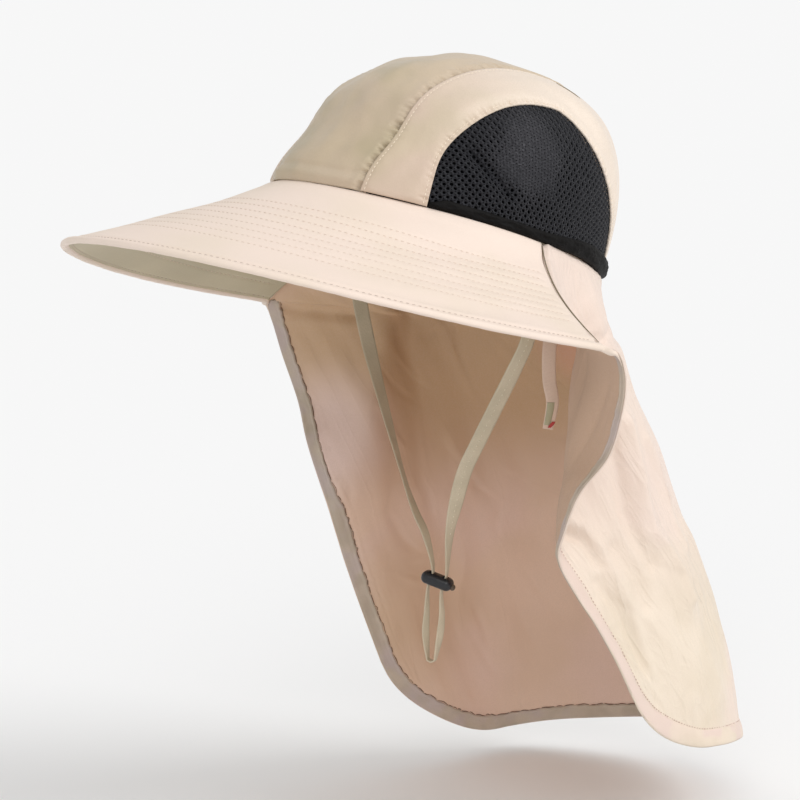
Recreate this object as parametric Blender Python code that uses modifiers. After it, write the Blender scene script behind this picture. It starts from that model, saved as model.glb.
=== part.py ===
"""Sun hat with a stitched brim, mesh side windows, a long neck flap and a chin strap.

Metres, +Z up. The front of the hat faces -Y and the wearer's left is +X. The origin is the
centre of the head opening. The crown and the brim are shaped in the hat's own frame, where the
opening lies flat, and are then tipped back. The flap and the strap hang in the world frame.
"""

import math

import bmesh
import bpy
from mathutils import Matrix, Vector

# Head opening and crown
OPENING_HALF_WIDTH = 0.0835
OPENING_HALF_LENGTH = 0.1025
CROWN_HEIGHT = 0.099
CROWN_WALL = 0.0016
CROWN_ROUNDNESS = 2.5       # 2 is an ellipsoid, more is boxier
FRONT_LOWER = 0.033         # share that the front is lower than the back
BACK_FULLNESS = 0.071       # share that the back stands out and the front lies in at mid height
FRONT_TUCK = 0.064          # share of the dent above the front base
TUCK_RISE = math.radians(21)
TUCK_SPREAD = math.radians(13)
TIP_BACK = math.radians(18.4)

# Panels of the crown
SEAM_FROM_MIDDLE = 0.0390
WINDOW_HEIGHT = 0.0755
WINDOW_TOP_Y = 0.008
WINDOW_FRONT_Y = -0.066
WINDOW_REAR_Y = 0.086
WINDOW_FRONT_CURVE = 2.0
WINDOW_REAR_CURVE = 1.35
BAND_HEIGHT = 0.0048

# Brim
BRIM_FRONT = 0.1252
BRIM_SIDE = 0.0809
BRIM_WALL = 0.0022
BRIM_FRONT_DROOP = math.radians(29.8)
BRIM_SIDE_DROOP = math.radians(39.3)
BRIM_FRONT_SAG = 0.008      # share of the brim's width that its middle lies below a straight line
BRIM_SIDE_SAG = 0.060
BRIM_END = math.radians(92.3)
BRIM_END_BOW = math.radians(2)
BASE_INSET = 0.0008         # how far the brim's inner edge reaches under the crown wall
BINDING_END = BRIM_END - math.radians(0.6)
BINDING_WIDTH = 0.0038
BINDING_WALL = 0.0006

# Neck flap
FLAP_HALF_WIDTH = 0.152
FLAP_REACH = 0.200
FLAP_DROP = 0.330
FLAP_WALL = 0.0012
HEM_DROP_LEFT = 0.292
HEM_DROP_RIGHT = 0.334
CORNER_LEFT = 0.056
CORNER_RIGHT = 0.072

# Chin strap, toggle and tail
TAPE_WIDTH = 0.0086
TAPE_WALL = 0.0010
TOGGLE_TAPE_SHARE = 0.48    # how far the tape is gathered in the toggle
TOGGLE_LENGTH = 0.0188
TOGGLE_DEPTH = 0.0095
TOGGLE_HEIGHT = 0.0074
TOGGLE_ROUND = 0.0034
TOGGLE_HOLE_PITCH = 0.0084
TOGGLE_PLACE = (0.0005, 0.0, -0.1990)
TOGGLE_YAW = math.radians(30)
TOGGLE_LEAN = math.radians(17)
TAIL_WIDTH = 0.0078
TAIL_WALL = 0.0010

# Clearances
GAP = 0.0003
SEAM_GAP = 0.0005

# Front edge, fold, side, rear and back of the left half of the flap, one row for each section.
# x is a share of FLAP_HALF_WIDTH, y of FLAP_REACH and z of FLAP_DROP, counted down.
# A row with a seam share takes its edge from the brim's rear seam at that share.
FLAP_ROWS = (
    dict(seam=0.5, fold=(0.560, 0.110), side=(0.530, 0.245), rear=(0.385, 0.350), back=(0.49, 0.142)),
    dict(seam=1.0, fold=(0.570, 0.125), side=(0.550, 0.260), rear=(0.405, 0.375), back=(0.50, 0.182)),
    dict(edge=(1.000, -0.03, 0.161), fold=(0.575, 0.130), side=(0.562, 0.265), rear=(0.420, 0.400),
         back=(0.520, 0.212)),
    dict(edge=(1.000, 0.000, 0.203), fold=(0.572, 0.125), side=(0.575, 0.270), rear=(0.425, 0.430),
         back=(0.545, 0.255)),
    dict(edge=(0.967, 0.015, 0.258), fold=(0.566, 0.115), side=(0.582, 0.290), rear=(0.425, 0.475),
         back=(0.590, 0.306)),
    dict(edge=(0.888, 0.025, 0.336), fold=(0.566, 0.100), side=(0.588, 0.330), rear=(0.425, 0.547),
         back=(0.655, 0.382)),
    dict(edge=(0.783, -0.005, 0.403), fold=(0.568, 0.088), side=(0.592, 0.360), rear=(0.425, 0.602),
         back=(0.715, 0.448)),
    dict(edge=(0.704, -0.005, 0.473), fold=(0.592, 0.075), side=(0.599, 0.400), rear=(0.425, 0.660),
         back=(0.770, 0.515)),
    dict(edge=(0.664, 0.005, 0.521), fold=(0.632, 0.072), side=(0.605, 0.440), rear=(0.435, 0.695),
         back=(0.810, 0.564)),
    dict(edge=(0.690, 0.055, 0.582), fold=(0.664, 0.135), side=(0.625, 0.470), rear=(0.440, 0.737),
         back=(0.850, 0.621)),
    dict(edge=(0.730, 0.115, 0.645), fold=(0.690, 0.220), side=(0.645, 0.510), rear=(0.445, 0.782),
         back=(0.890, 0.682)),
    dict(edge=(0.763, 0.210, 0.758), fold=(0.710, 0.340), side=(0.664, 0.600), rear=(0.460, 0.827),
         back=(0.950, 0.788)),
    dict(edge=(0.770, 0.390, 1.000), fold=(0.704, 0.540), side=(0.678, 0.750), rear=(0.475, 0.905),
         back=(1.040, 1.018)),
)
# How far each of the four columns behind the edge has come from the edge's height to the back's
FLAP_HEIGHT_SHARES = (0.25, 0.5, 0.8, 1.0)
# Places of the flap's columns round the head opening, from the front edge to the back
FLAP_SEAT_ANGLES = (92.9, 103.0, 122.0, 146.0, 180.0)

# Route of the chin strap as (x, y, z, share of the tape's width, turn of the tape in degrees),
# from the left anchor to the toggle and from the toggle to the right anchor
LEFT_STRAND = (
    (0.0801, 0.0040, 0.0010, 1.00, 0),
    (0.0794, 0.0035, -0.0130, 1.00, 0),
    (0.0785, 0.0020, -0.0340, 1.00, -8),
    (0.0742, 0.0005, -0.0550, 1.00, -22),
    (0.0590, 0.0000, -0.0705, 1.00, -33),
    (0.0453, 0.0000, -0.0930, 1.00, -38),
    (0.0330, 0.0000, -0.1145, 1.00, -38),
    (0.0235, 0.0000, -0.1325, 1.00, -36),
    (0.0165, 0.0000, -0.1520, 0.96, -27),
    (0.0105, 0.0005, -0.1710, 0.74, -2),
)
RIGHT_STRAND = (
    (-0.0085, -0.0010, -0.1740, 0.68, 6),
    (-0.0180, -0.0005, -0.1620, 0.80, 18),
    (-0.0275, 0.0000, -0.1470, 0.92, 36),
    (-0.0370, 0.0000, -0.1270, 1.00, 30),
    (-0.0462, 0.0000, -0.1060, 1.00, 14),
    (-0.0535, 0.0000, -0.0890, 1.00, 0),
    (-0.0600, 0.0000, -0.0730, 1.00, -18),
    (-0.0660, 0.0000, -0.0560, 1.00, -28),
    (-0.0710, 0.0005, -0.0400, 1.00, -24),
    (-0.0770, 0.0025, -0.0190, 1.00, -7),
    (-0.0801, 0.0040, 0.0010, 1.00, 0),
)
LOOP_LEFT = (
    (0.0026, 0.0016, -0.2190, 0.50, 30),
    (0.0016, 0.0012, -0.2300, 0.53, 30),
)
LOOP_RIGHT = (
    (-0.0062, -0.0030, -0.2300, 0.53, 30),
    (-0.0056, -0.0028, -0.2190, 0.50, 30),
)
LOOP_BOTTOM_PLACE = (-0.0030, -0.0012, -0.2440)
LOOP_BOTTOM_RADIUS = 0.0024
TAIL_ROUTE = (
    (0.0782, 0.0235, -0.0070, 1.00, 14),
    (0.0773, 0.0215, -0.0240, 1.00, 4),
    (0.0764, 0.0185, -0.0420, 1.00, -16),
    (0.0752, 0.0162, -0.0600, 1.00, -33),
    (0.0752, 0.0162, -0.0770, 0.96, -36),
    (0.0764, 0.0176, -0.0900, 0.90, -34),
    (0.0752, 0.0154, -0.1045, 0.76, -30),
)

CLOTH = (0.72, 0.60, 0.49)
CLOTH_SIDE = (0.70, 0.58, 0.47)
MESH_BLACK = (0.035, 0.034, 0.040)
BAND_BLACK = (0.012, 0.011, 0.013)
TAPE = (0.50, 0.42, 0.32)
PLASTIC = (0.015, 0.015, 0.018)


def empty_scene():
    for item in list(bpy.data.objects):
        bpy.data.objects.remove(item, do_unlink=True)


def new_collection(name):
    collection = bpy.data.collections.new(name)
    bpy.context.scene.collection.children.link(collection)
    return collection


def material(name, colour, roughness):
    slot = bpy.data.materials.new(name)
    slot.use_nodes = True
    shader = slot.node_tree.nodes["Principled BSDF"]
    shader.inputs["Base Color"].default_value = (*colour, 1.0)
    shader.inputs["Roughness"].default_value = roughness
    shader.inputs["Metallic"].default_value = 0.0
    slot.diffuse_color = (*colour, 1.0)
    return slot


def add_mesh(name, points, faces, slot, collection):
    """Makes an object from points and faces, with doubled points joined."""
    mesh = bpy.data.meshes.new(name)
    mesh.from_pydata([tuple(p) for p in points], [], faces)
    sheet = bmesh.new()
    sheet.from_mesh(mesh)
    bmesh.ops.remove_doubles(sheet, verts=sheet.verts, dist=0.00005)
    sheet.to_mesh(mesh)
    sheet.free()
    mesh.materials.append(slot)
    item = bpy.data.objects.new(name, mesh)
    collection.objects.link(item)
    return item


def add_sheet(name, rows, slot, collection, wall):
    """Lofts a sheet through rows of points and thickens it away from its outer side."""
    count = len(rows[0])
    points = [point for row in rows for point in row]
    faces = []
    for r in range(len(rows) - 1):
        for c in range(count - 1):
            a = r * count + c
            faces.append((a, a + count, a + count + 1, a + 1))
    item = add_mesh(name, points, faces, slot, collection)
    shell = item.modifiers.new("Wall", "SOLIDIFY")
    shell.thickness = wall
    shell.offset = -1.0
    shell.use_even_offset = False
    return item


def add_sweep(name, sections, slot, collection):
    """Lofts a closed bar through sections that have the same number of points."""
    count = len(sections[0])
    points = [point for section in sections for point in section]
    faces = []
    for s in range(len(sections) - 1):
        for c in range(count):
            a = s * count + c
            b = s * count + (c + 1) % count
            faces.append((a, b, b + count, a + count))
    faces.append(tuple(reversed(range(count))))
    last = (len(sections) - 1) * count
    faces.append(tuple(range(last, last + count)))
    item = add_mesh(name, points, faces, slot, collection)
    sheet = bmesh.new()
    sheet.from_mesh(item.data)
    bmesh.ops.recalc_face_normals(sheet, faces=sheet.faces)
    sheet.to_mesh(item.data)
    sheet.free()
    return item


def tip(point):
    """Turns a point from the hat's own frame to the world frame."""
    return Matrix.Rotation(-TIP_BACK, 4, "X") @ Vector(point)


def mix(a, b, share):
    return a + (b - a) * share


def spline(values, place):
    """Smooth curve through evenly counted values, read at a place between 0 and their last."""
    last = len(values) - 1
    i = min(int(place), last - 1)
    t = place - i
    p1 = values[i]
    p2 = values[i + 1]
    p0 = values[i - 1] if i > 0 else p1 * 2 - p2
    p3 = values[i + 2] if i + 2 <= last else p2 * 2 - p1
    return ((p1 * 2) + (p2 - p0) * t + (p0 * 2 - p1 * 5 + p2 * 4 - p3) * t ** 2
            + (p1 * 3 - p0 - p2 * 3 + p3) * t ** 3) * 0.5


def crown_radius(direction):
    """Distance from the centre of the opening to the crown's outer face."""
    flat = math.hypot(direction.x, direction.y)
    rise = math.atan2(max(direction.z, 0.0), flat)
    forward = -direction.y / flat if flat > 1e-9 else 0.0
    round_share = math.hypot(direction.x / OPENING_HALF_WIDTH, direction.y / OPENING_HALF_LENGTH)
    high_share = max(direction.z, 0.0) / CROWN_HEIGHT * (1 + FRONT_LOWER * forward * flat)
    power = CROWN_ROUNDNESS
    reach = (round_share ** power + high_share ** power) ** (-1.0 / power)
    fullness = 1 - BACK_FULLNESS * forward * math.sin(2 * rise) ** 2
    dent = FRONT_TUCK * max(forward, 0.0) * math.exp(-((rise - TUCK_RISE) / TUCK_SPREAD) ** 2)
    return reach * (fullness - dent)


def crown_point(direction):
    unit = direction.normalized()
    return unit * crown_radius(unit)


def seam_direction(side, pitch):
    """Direction of the crown point that lies at a side distance and a pitch from front to back."""
    turn = 0.4
    for _ in range(8):
        unit = Vector((math.sin(turn), -math.cos(turn) * math.cos(pitch), math.cos(turn) * math.sin(pitch)))
        turn = math.asin(min(side / crown_radius(unit), 0.95))
    return Vector((math.sin(turn), -math.cos(turn) * math.cos(pitch), math.cos(turn) * math.sin(pitch)))


def side_direction(y, z):
    """Direction of the left crown point that lies at a given y and height."""
    x = OPENING_HALF_WIDTH * 0.8
    for _ in range(14):
        reach = crown_radius(Vector((x, y, z)).normalized())
        x = math.sqrt(max(reach ** 2 - y ** 2 - z ** 2, 1e-6))
    return Vector((x, y, z)).normalized()


def window_outline(share, inset, floor):
    """Direction on the window's arch, from its front foot at 0 to its rear foot at 1."""
    top = WINDOW_HEIGHT - inset
    angle = math.pi * (1 - share)
    lean = abs(math.cos(angle))
    if angle > math.pi / 2:
        length = WINDOW_TOP_Y - WINDOW_FRONT_Y - inset
        curve = WINDOW_FRONT_CURVE
        y = WINDOW_TOP_Y - length * lean ** (2 / curve)
    else:
        length = WINDOW_REAR_Y - WINDOW_TOP_Y - inset
        curve = WINDOW_REAR_CURVE
        y = WINDOW_TOP_Y + length * lean ** (2 / curve)
    z = top * math.sin(angle) ** (2 / curve)
    return side_direction(y, max(z, floor))


def window_floor_y(height, inset, rear):
    """Where the arch stands at a height, at its front or at its rear."""
    share = height / (WINDOW_HEIGHT - inset)
    if rear:
        length = WINDOW_REAR_Y - WINDOW_TOP_Y - inset
        return WINDOW_TOP_Y + length * (1 - share ** WINDOW_REAR_CURVE) ** (1 / WINDOW_REAR_CURVE)
    length = WINDOW_TOP_Y - WINDOW_FRONT_Y - inset
    return WINDOW_TOP_Y - length * (1 - share ** WINDOW_FRONT_CURVE) ** (1 / WINDOW_FRONT_CURVE)


def mirrored(rows):
    """The same rows on the other side, in reverse so that the outer side stays outside."""
    return [[Vector((-p.x, p.y, p.z)) for p in reversed(row)] for row in rows]


def crown_rows(first, second, steps_across, steps_along):
    """Rows of crown points between two outlines of directions."""
    rows = []
    for r in range(steps_across + 1):
        row = []
        for c in range(steps_along + 1):
            share = c / steps_along
            a = first(share)
            b = second(share)
            row.append(tip(crown_point(a.slerp(b, r / steps_across))))
        rows.append(row)
    return rows


def add_pair(name, rows, slot, collection, wall):
    add_sheet(name + "_left", rows, slot, collection, wall)
    add_sheet(name + "_right", mirrored(rows), slot, collection, wall)


def make_crown(collection, cloth, cloth_side):
    """Centre strip and two side panels, sewn edge to edge."""
    inner = SEAM_FROM_MIDDLE - SEAM_GAP / 2
    outer = SEAM_FROM_MIDDLE + SEAM_GAP / 2

    def left_edge(share):
        return seam_direction(inner, math.pi * share)

    def right_edge(share):
        left = left_edge(share)
        return Vector((-left.x, left.y, left.z))

    centre = crown_rows(right_edge, left_edge, 6, 30)
    add_sheet("crown_centre_panel", centre, cloth, collection, CROWN_WALL)

    def panel_edge(share):
        return seam_direction(outer, math.pi * share)

    def arch_edge(share):
        return window_outline(share, 0.0, 0.0)

    side = crown_rows(panel_edge, arch_edge, 4, 30)
    add_pair("crown_side", side, cloth_side, collection, CROWN_WALL)


def make_windows(collection, mesh_black, band_black):
    """Mesh in each arch above a band along the crown's base."""
    inset = SEAM_GAP
    floor = BAND_HEIGHT + SEAM_GAP
    front = window_floor_y(floor, inset, False)
    rear = window_floor_y(floor, inset, True)
    start = math.asin((floor / (WINDOW_HEIGHT - inset)) ** (WINDOW_FRONT_CURVE / 2)) / math.pi
    end = math.asin((floor / (WINDOW_HEIGHT - inset)) ** (WINDOW_REAR_CURVE / 2)) / math.pi

    def bottom(share):
        return side_direction(mix(front, rear, share), floor)

    def arch(share):
        return window_outline(mix(start, 1 - end, share), inset, floor)

    window = crown_rows(bottom, arch, 6, 20)
    add_pair("mesh_window", [list(reversed(row)) for row in window], mesh_black, collection, CROWN_WALL)

    def band_edge(height):
        low = window_floor_y(height, inset, False)
        high = window_floor_y(height, inset, True)
        return lambda share: side_direction(mix(low, high, share), height)

    band = crown_rows(band_edge(0.0), band_edge(BAND_HEIGHT), 1, 18)
    add_pair("mesh_band", [list(reversed(row)) for row in band], band_black, collection, CROWN_WALL)


def opening_point(angle, inset):
    """Point on the opening's outer edge at an angle from the front, moved in by the inset."""
    x = OPENING_HALF_WIDTH * math.sin(angle)
    y = -OPENING_HALF_LENGTH * math.cos(angle)
    out = opening_normal(angle)
    return Vector((x, y, 0.0)) - out * inset


def opening_normal(angle):
    out = Vector((math.sin(angle) / OPENING_HALF_WIDTH, -math.cos(angle) / OPENING_HALF_LENGTH, 0.0))
    return out.normalized()


def brim_frame(angle):
    """Width, droop and sag of the brim at an angle from the front."""
    forward = math.cos(angle)
    width = mix(BRIM_SIDE, BRIM_FRONT, 0.58 * forward + 0.42 * forward ** 2)
    droop = mix(BRIM_SIDE_DROOP, BRIM_FRONT_DROOP, 1.2 * forward ** 2 - 0.2 * forward)
    sag = mix(BRIM_SIDE_SAG, BRIM_FRONT_SAG, forward ** 2)
    return width, droop, sag


def brim_point(angle, share):
    """Point on the brim's upper face, from the crown's base at 0 to the rim at 1."""
    width, droop, sag = brim_frame(angle)
    below = width * sag * math.sin(math.pi * share ** 0.7)
    out = width * share * math.cos(droop) - below * math.sin(droop)
    down = width * share * math.sin(droop) + below * math.cos(droop)
    place = opening_point(angle, BASE_INSET) + opening_normal(angle) * (out + BASE_INSET * share)
    return Vector((place.x, place.y, -GAP - down))


def brim_end(share):
    """Angle of the brim's rear seam at a share of its width."""
    return BRIM_END - BRIM_END_BOW * math.sin(math.pi * share)


def make_brim(collection, cloth):
    """Stiff brim over the front and the sides, and the binding round its rim."""
    around = 52
    across = 6
    rows = []
    for r in range(across + 1):
        share = r / across
        end = brim_end(share)
        row = []
        for c in range(around + 1):
            angle = mix(-end, end, c / around)
            row.append(tip(brim_point(angle, share)))
        rows.append(row)
    add_sheet("brim", rows, cloth, collection, BRIM_WALL)
    make_binding(collection, cloth, around)


def make_binding(collection, cloth, around):
    """Channel of cloth that wraps the rim, open towards the crown."""
    sections = []
    for c in range(around + 1):
        angle = mix(-BINDING_END, BINDING_END, c / around)
        rim = brim_point(angle, 1.0)
        inside = brim_point(angle, 1.0 - BINDING_WIDTH / brim_frame(angle)[0])
        out = (rim - inside).normalized()
        along = (brim_point(angle + 0.01, 1.0) - brim_point(angle - 0.01, 1.0)).normalized()
        up = out.cross(along)
        up = up if up.z > 0 else -up
        inner_top = GAP
        outer_top = GAP + BINDING_WALL
        inner_low = -BRIM_WALL - GAP
        outer_low = -BRIM_WALL - GAP - BINDING_WALL
        middle = -BRIM_WALL / 2
        nose = GAP + BINDING_WALL + 0.0006
        profile = (
            (-BINDING_WIDTH, outer_top), (-0.0004, outer_top), (nose * 0.75, middle + 0.0012),
            (nose, middle), (nose * 0.75, middle - 0.0012), (-0.0004, outer_low),
            (-BINDING_WIDTH, outer_low), (-BINDING_WIDTH, inner_low), (GAP, inner_low),
            (GAP, inner_top), (-BINDING_WIDTH, inner_top),
        )
        sections.append([tip(rim + out * o + up * u) for o, u in profile])
    add_sweep("brim_binding", sections, cloth, collection)


def flap_controls(place):
    """The five control points of the flap's left half at a place down its rows."""
    columns = ([], [], [], [], [])
    seam_rows = [row for row in FLAP_ROWS if "seam" in row]
    for column, angle in zip(columns, FLAP_SEAT_ANGLES):
        seat = opening_point(math.radians(angle), BASE_INSET)
        column.append(tip(seat - Vector((0, 0, GAP))))
    for row in FLAP_ROWS:
        edge = flap_seam_edge(row["seam"]) if "seam" in row else scaled(*row["edge"])
        back_y, back_drop = row["back"]
        back = scaled(0.0, back_y, back_drop)
        columns[0].append(edge)
        for number, name in enumerate(("fold", "side", "rear")):
            x, y = row[name]
            height = mix(edge.z, back.z, FLAP_HEIGHT_SHARES[number])
            columns[number + 1].append(Vector((x * FLAP_HALF_WIDTH, y * FLAP_REACH, height)))
        columns[4].append(back)
    controls = [spline(column, place) for column in columns]
    if place <= len(seam_rows):
        controls[0] = flap_seam_edge(place / len(seam_rows))
    return controls


def scaled(x, y, drop):
    return Vector((x * FLAP_HALF_WIDTH, y * FLAP_REACH, -drop * FLAP_DROP))


def flap_seam_edge(share):
    """Point on the flap's side of the brim's rear seam."""
    angle = brim_end(share)
    point = brim_point(angle, share)
    behind = brim_point(angle + 0.02, share) - point
    return tip(point + behind.normalized() * SEAM_GAP * 1.6)


def flap_point(place, across):
    """Point on the flap's outer face. Across runs from -4 at the right edge to 4 at the left."""
    left = flap_controls(place)
    right = [Vector((-p.x, p.y, p.z)) for p in left]
    row = right[:4] + [left[4]] + list(reversed(left[:4]))
    return spline(row, across + 4)


def hem_places(columns):
    """How far down the rows each column of the flap reaches, with both bottom corners rounded."""
    last = len(FLAP_ROWS)
    level = [flap_point(last - 1, across) for across in columns]
    from_right = [0.0]
    for a, b in zip(level, level[1:]):
        from_right.append(from_right[-1] + (b - a).length)
    whole = from_right[-1]
    places = []
    for across, distance in zip(columns, from_right):
        share = distance / whole
        drop = mix(HEM_DROP_RIGHT, HEM_DROP_LEFT, share * share * (3 - 2 * share))
        for radius, gone in ((CORNER_RIGHT, distance), (CORNER_LEFT, whole - distance)):
            if gone < radius:
                drop -= radius * 0.8 * (1 - math.sqrt(1 - ((radius - gone) / radius) ** 2))
        places.append(place_at_drop(across, drop))
    return places


def place_at_drop(across, drop):
    low = 3.0
    high = float(len(FLAP_ROWS))
    for _ in range(24):
        middle = (low + high) / 2
        if -flap_point(middle, across).z < drop:
            low = middle
        else:
            high = middle
    return low


def make_flap(collection, cloth):
    """One hanging sheet from the crown's back base and the brim's rear seams to the hem."""
    edge_steps = (4.0, 3.94, 3.8, 3.6, 3.35, 3.0, 2.6, 2.2, 1.8, 1.4, 1.05, 0.7, 0.35)
    columns = [-step for step in edge_steps] + [0.0] + list(reversed(edge_steps))
    hem = hem_places(columns)
    upper = (0.0, 0.5, 1.0, 1.5, 2.0, 2.5, 3.0)
    lower_steps = 15
    rows = []
    for place in upper:
        rows.append([flap_point(place, across) for across in columns])
    for r in range(1, lower_steps + 1):
        share = r / lower_steps
        rows.append([flap_point(mix(3.0, end, share), across) for across, end in zip(columns, hem)])
    add_sheet("neck_flap", [list(reversed(row)) for row in rows], cloth, collection, FLAP_WALL)


def toggle_axes():
    turn = Matrix.Rotation(TOGGLE_YAW, 4, "Z") @ Matrix.Rotation(TOGGLE_LEAN, 4, "Y")
    return turn


def through_toggle(side, above):
    """Point on the tape's way through a toggle hole, above or below the toggle."""
    offset = Vector((side * TOGGLE_HOLE_PITCH / 2, 0.0, above * (TOGGLE_HEIGHT / 2 + 0.0015)))
    place = Vector(TOGGLE_PLACE) + toggle_axes() @ offset
    return (*place, TOGGLE_TAPE_SHARE, math.degrees(TOGGLE_YAW))


def strap_route():
    """The whole tape, from the left anchor through the toggle, round its loop and back up."""
    bottom = Vector(LOOP_BOTTOM_PLACE)
    along = Matrix.Rotation(TOGGLE_YAW, 4, "Z") @ Vector((1, 0, 0))
    turn = []
    for angle in (0, 45, 90, 135, 180):
        a = math.radians(angle)
        place = bottom + along * math.cos(a) * LOOP_BOTTOM_RADIUS
        place.z -= math.sin(a) * LOOP_BOTTOM_RADIUS
        turn.append((*place, 0.58, math.degrees(TOGGLE_YAW)))
    route = list(LEFT_STRAND) + [through_toggle(1, 1), through_toggle(1, -1)] + list(LOOP_LEFT)
    route += turn + list(LOOP_RIGHT) + [through_toggle(-1, -1), through_toggle(-1, 1)]
    return route + list(RIGHT_STRAND)


def add_tape(name, route, width, wall, steps, slot, collection):
    """Flat tape along a route whose rows hold place, share of width and turn in degrees."""
    places = [Vector(row[:3]) for row in route]
    shares = [row[3] for row in route]
    turns = [row[4] for row in route]
    sections = []
    last = len(route) - 1
    for s in range(steps * last + 1):
        place = s / steps
        point = spline(places, place)
        ahead = spline(places, min(place + 0.05, last)) - spline(places, max(place - 0.05, 0))
        along = ahead.normalized()
        turn = math.radians(spline(turns, place))
        across = Vector((-math.sin(turn), math.cos(turn), 0.0))
        across = (across - along * across.dot(along)).normalized()
        face = along.cross(across)
        half = width * spline(shares, place) / 2
        sections.append([
            point + across * half + face * wall / 2, point - across * half + face * wall / 2,
            point - across * half - face * wall / 2, point + across * half - face * wall / 2,
        ])
    return add_sweep(name, sections, slot, collection)


def add_box(name, size, slot, collection):
    bpy.ops.mesh.primitive_cube_add(size=1.0)
    item = bpy.context.active_object
    item.name = name
    item.data.name = name
    item.data.transform(Matrix.Diagonal((*size, 1.0)))
    for owner in list(item.users_collection):
        owner.objects.unlink(item)
    collection.objects.link(item)
    if slot:
        item.data.materials.append(slot)
    return item


def make_toggle(collection, cutters, plastic):
    """Rounded stopper with two slots that the tape runs through."""
    toggle = add_box("toggle", (TOGGLE_LENGTH, TOGGLE_DEPTH, TOGGLE_HEIGHT), plastic, collection)
    toggle.matrix_world = Matrix.Translation(TOGGLE_PLACE) @ toggle_axes()
    rounding = toggle.modifiers.new("Rounding", "BEVEL")
    rounding.width = TOGGLE_ROUND
    rounding.segments = 3
    rounding.limit_method = "NONE"
    slot_size = (TAPE_WALL + 0.0018, TAPE_WIDTH * TOGGLE_TAPE_SHARE + 0.0012, TOGGLE_HEIGHT * 2)
    for side in (-1, 1):
        cutter = add_box(f"toggle_slot_{side + 1}", slot_size, None, cutters)
        offset = Matrix.Translation((side * TOGGLE_HOLE_PITCH / 2, 0, 0))
        cutter.matrix_world = toggle.matrix_world @ offset
        cutter.display_type = "WIRE"
        cutter.hide_render = True
        cut = toggle.modifiers.new("Slot", "BOOLEAN")
        cut.operation = "DIFFERENCE"
        cut.solver = "EXACT"
        cut.object = cutter


def main():
    empty_scene()
    hat = new_collection("sun_hat")
    cutters = new_collection("cutters")
    cutters.hide_render = True
    cloth = material("cloth", CLOTH, 0.75)
    cloth_side = material("cloth_side", CLOTH_SIDE, 0.75)
    mesh_black = material("mesh_black", MESH_BLACK, 0.8)
    band_black = material("band_black", BAND_BLACK, 0.7)
    tape = material("tape", TAPE, 0.7)
    plastic = material("plastic", PLASTIC, 0.4)
    make_crown(hat, cloth, cloth_side)
    make_windows(hat, mesh_black, band_black)
    make_brim(hat, cloth)
    make_flap(hat, cloth)
    add_tape("chin_strap", strap_route(), TAPE_WIDTH, TAPE_WALL, 2, tape, hat)
    make_toggle(hat, cutters, plastic)
    add_tape("rear_tail", TAIL_ROUTE, TAIL_WIDTH, TAIL_WALL, 2, tape, hat)


main()
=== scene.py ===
"""Looks of the sun hat: panelled crown, stitched brim, mesh windows, draped neck flap and strap.

Every piece repeats the hat's shapes from its named sizes, in metres, and lies where the solids
lie. The front faces -Y, the wearer's left is +X, and the origin is the centre of the opening.
"""
import math

import bmesh
import bpy
import numpy as np
from mathutils import Matrix, Vector
from mathutils.bvhtree import BVHTree
from mathutils.kdtree import KDTree


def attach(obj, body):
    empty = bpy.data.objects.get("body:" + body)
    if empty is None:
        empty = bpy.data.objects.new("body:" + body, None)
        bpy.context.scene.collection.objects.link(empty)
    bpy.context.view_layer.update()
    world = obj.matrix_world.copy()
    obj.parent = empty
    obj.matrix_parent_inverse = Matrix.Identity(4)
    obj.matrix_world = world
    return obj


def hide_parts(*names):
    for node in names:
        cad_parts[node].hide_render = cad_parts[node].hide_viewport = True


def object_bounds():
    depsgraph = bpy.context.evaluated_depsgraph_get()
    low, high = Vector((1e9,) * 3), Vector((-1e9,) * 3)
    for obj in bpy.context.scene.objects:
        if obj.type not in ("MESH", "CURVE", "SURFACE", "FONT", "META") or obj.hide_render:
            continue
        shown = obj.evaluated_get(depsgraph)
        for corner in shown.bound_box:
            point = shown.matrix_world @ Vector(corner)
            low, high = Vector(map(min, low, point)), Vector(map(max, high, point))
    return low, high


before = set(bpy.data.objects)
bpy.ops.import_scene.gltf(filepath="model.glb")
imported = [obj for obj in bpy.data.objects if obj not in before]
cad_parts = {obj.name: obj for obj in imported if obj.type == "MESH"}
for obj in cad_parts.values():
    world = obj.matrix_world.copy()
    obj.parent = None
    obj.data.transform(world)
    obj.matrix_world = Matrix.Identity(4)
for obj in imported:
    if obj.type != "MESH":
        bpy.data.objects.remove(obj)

CAD_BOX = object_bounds()
MM = 0.001

# Sizes of the hat, as in its source
OPENING_HALF_WIDTH = 0.0835
OPENING_HALF_LENGTH = 0.1025
CROWN_HEIGHT = 0.099
CROWN_ROUNDNESS = 2.5
FRONT_LOWER = 0.033
BACK_FULLNESS = 0.071
FRONT_TUCK = 0.064
TUCK_RISE = math.radians(21)
TUCK_SPREAD = math.radians(13)
TIP_BACK = math.radians(18.4)
SEAM_FROM_MIDDLE = 0.0390
WINDOW_HEIGHT = 0.0755
WINDOW_TOP_Y = 0.008
WINDOW_FRONT_Y = -0.066
WINDOW_REAR_Y = 0.086
WINDOW_FRONT_CURVE = 2.0
WINDOW_REAR_CURVE = 1.35
BRIM_FRONT = 0.1252
BRIM_SIDE = 0.0809
BRIM_WALL = 0.0022
BRIM_FRONT_DROOP = math.radians(29.8)
BRIM_SIDE_DROOP = math.radians(39.3)
BRIM_FRONT_SAG = 0.008
BRIM_SIDE_SAG = 0.060
BRIM_END = math.radians(92.3)
BRIM_END_BOW = math.radians(2)
BASE_INSET = 0.0008
FLAP_HALF_WIDTH = 0.152
FLAP_REACH = 0.200
FLAP_DROP = 0.330
HEM_DROP_LEFT = 0.292
HEM_DROP_RIGHT = 0.334
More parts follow.
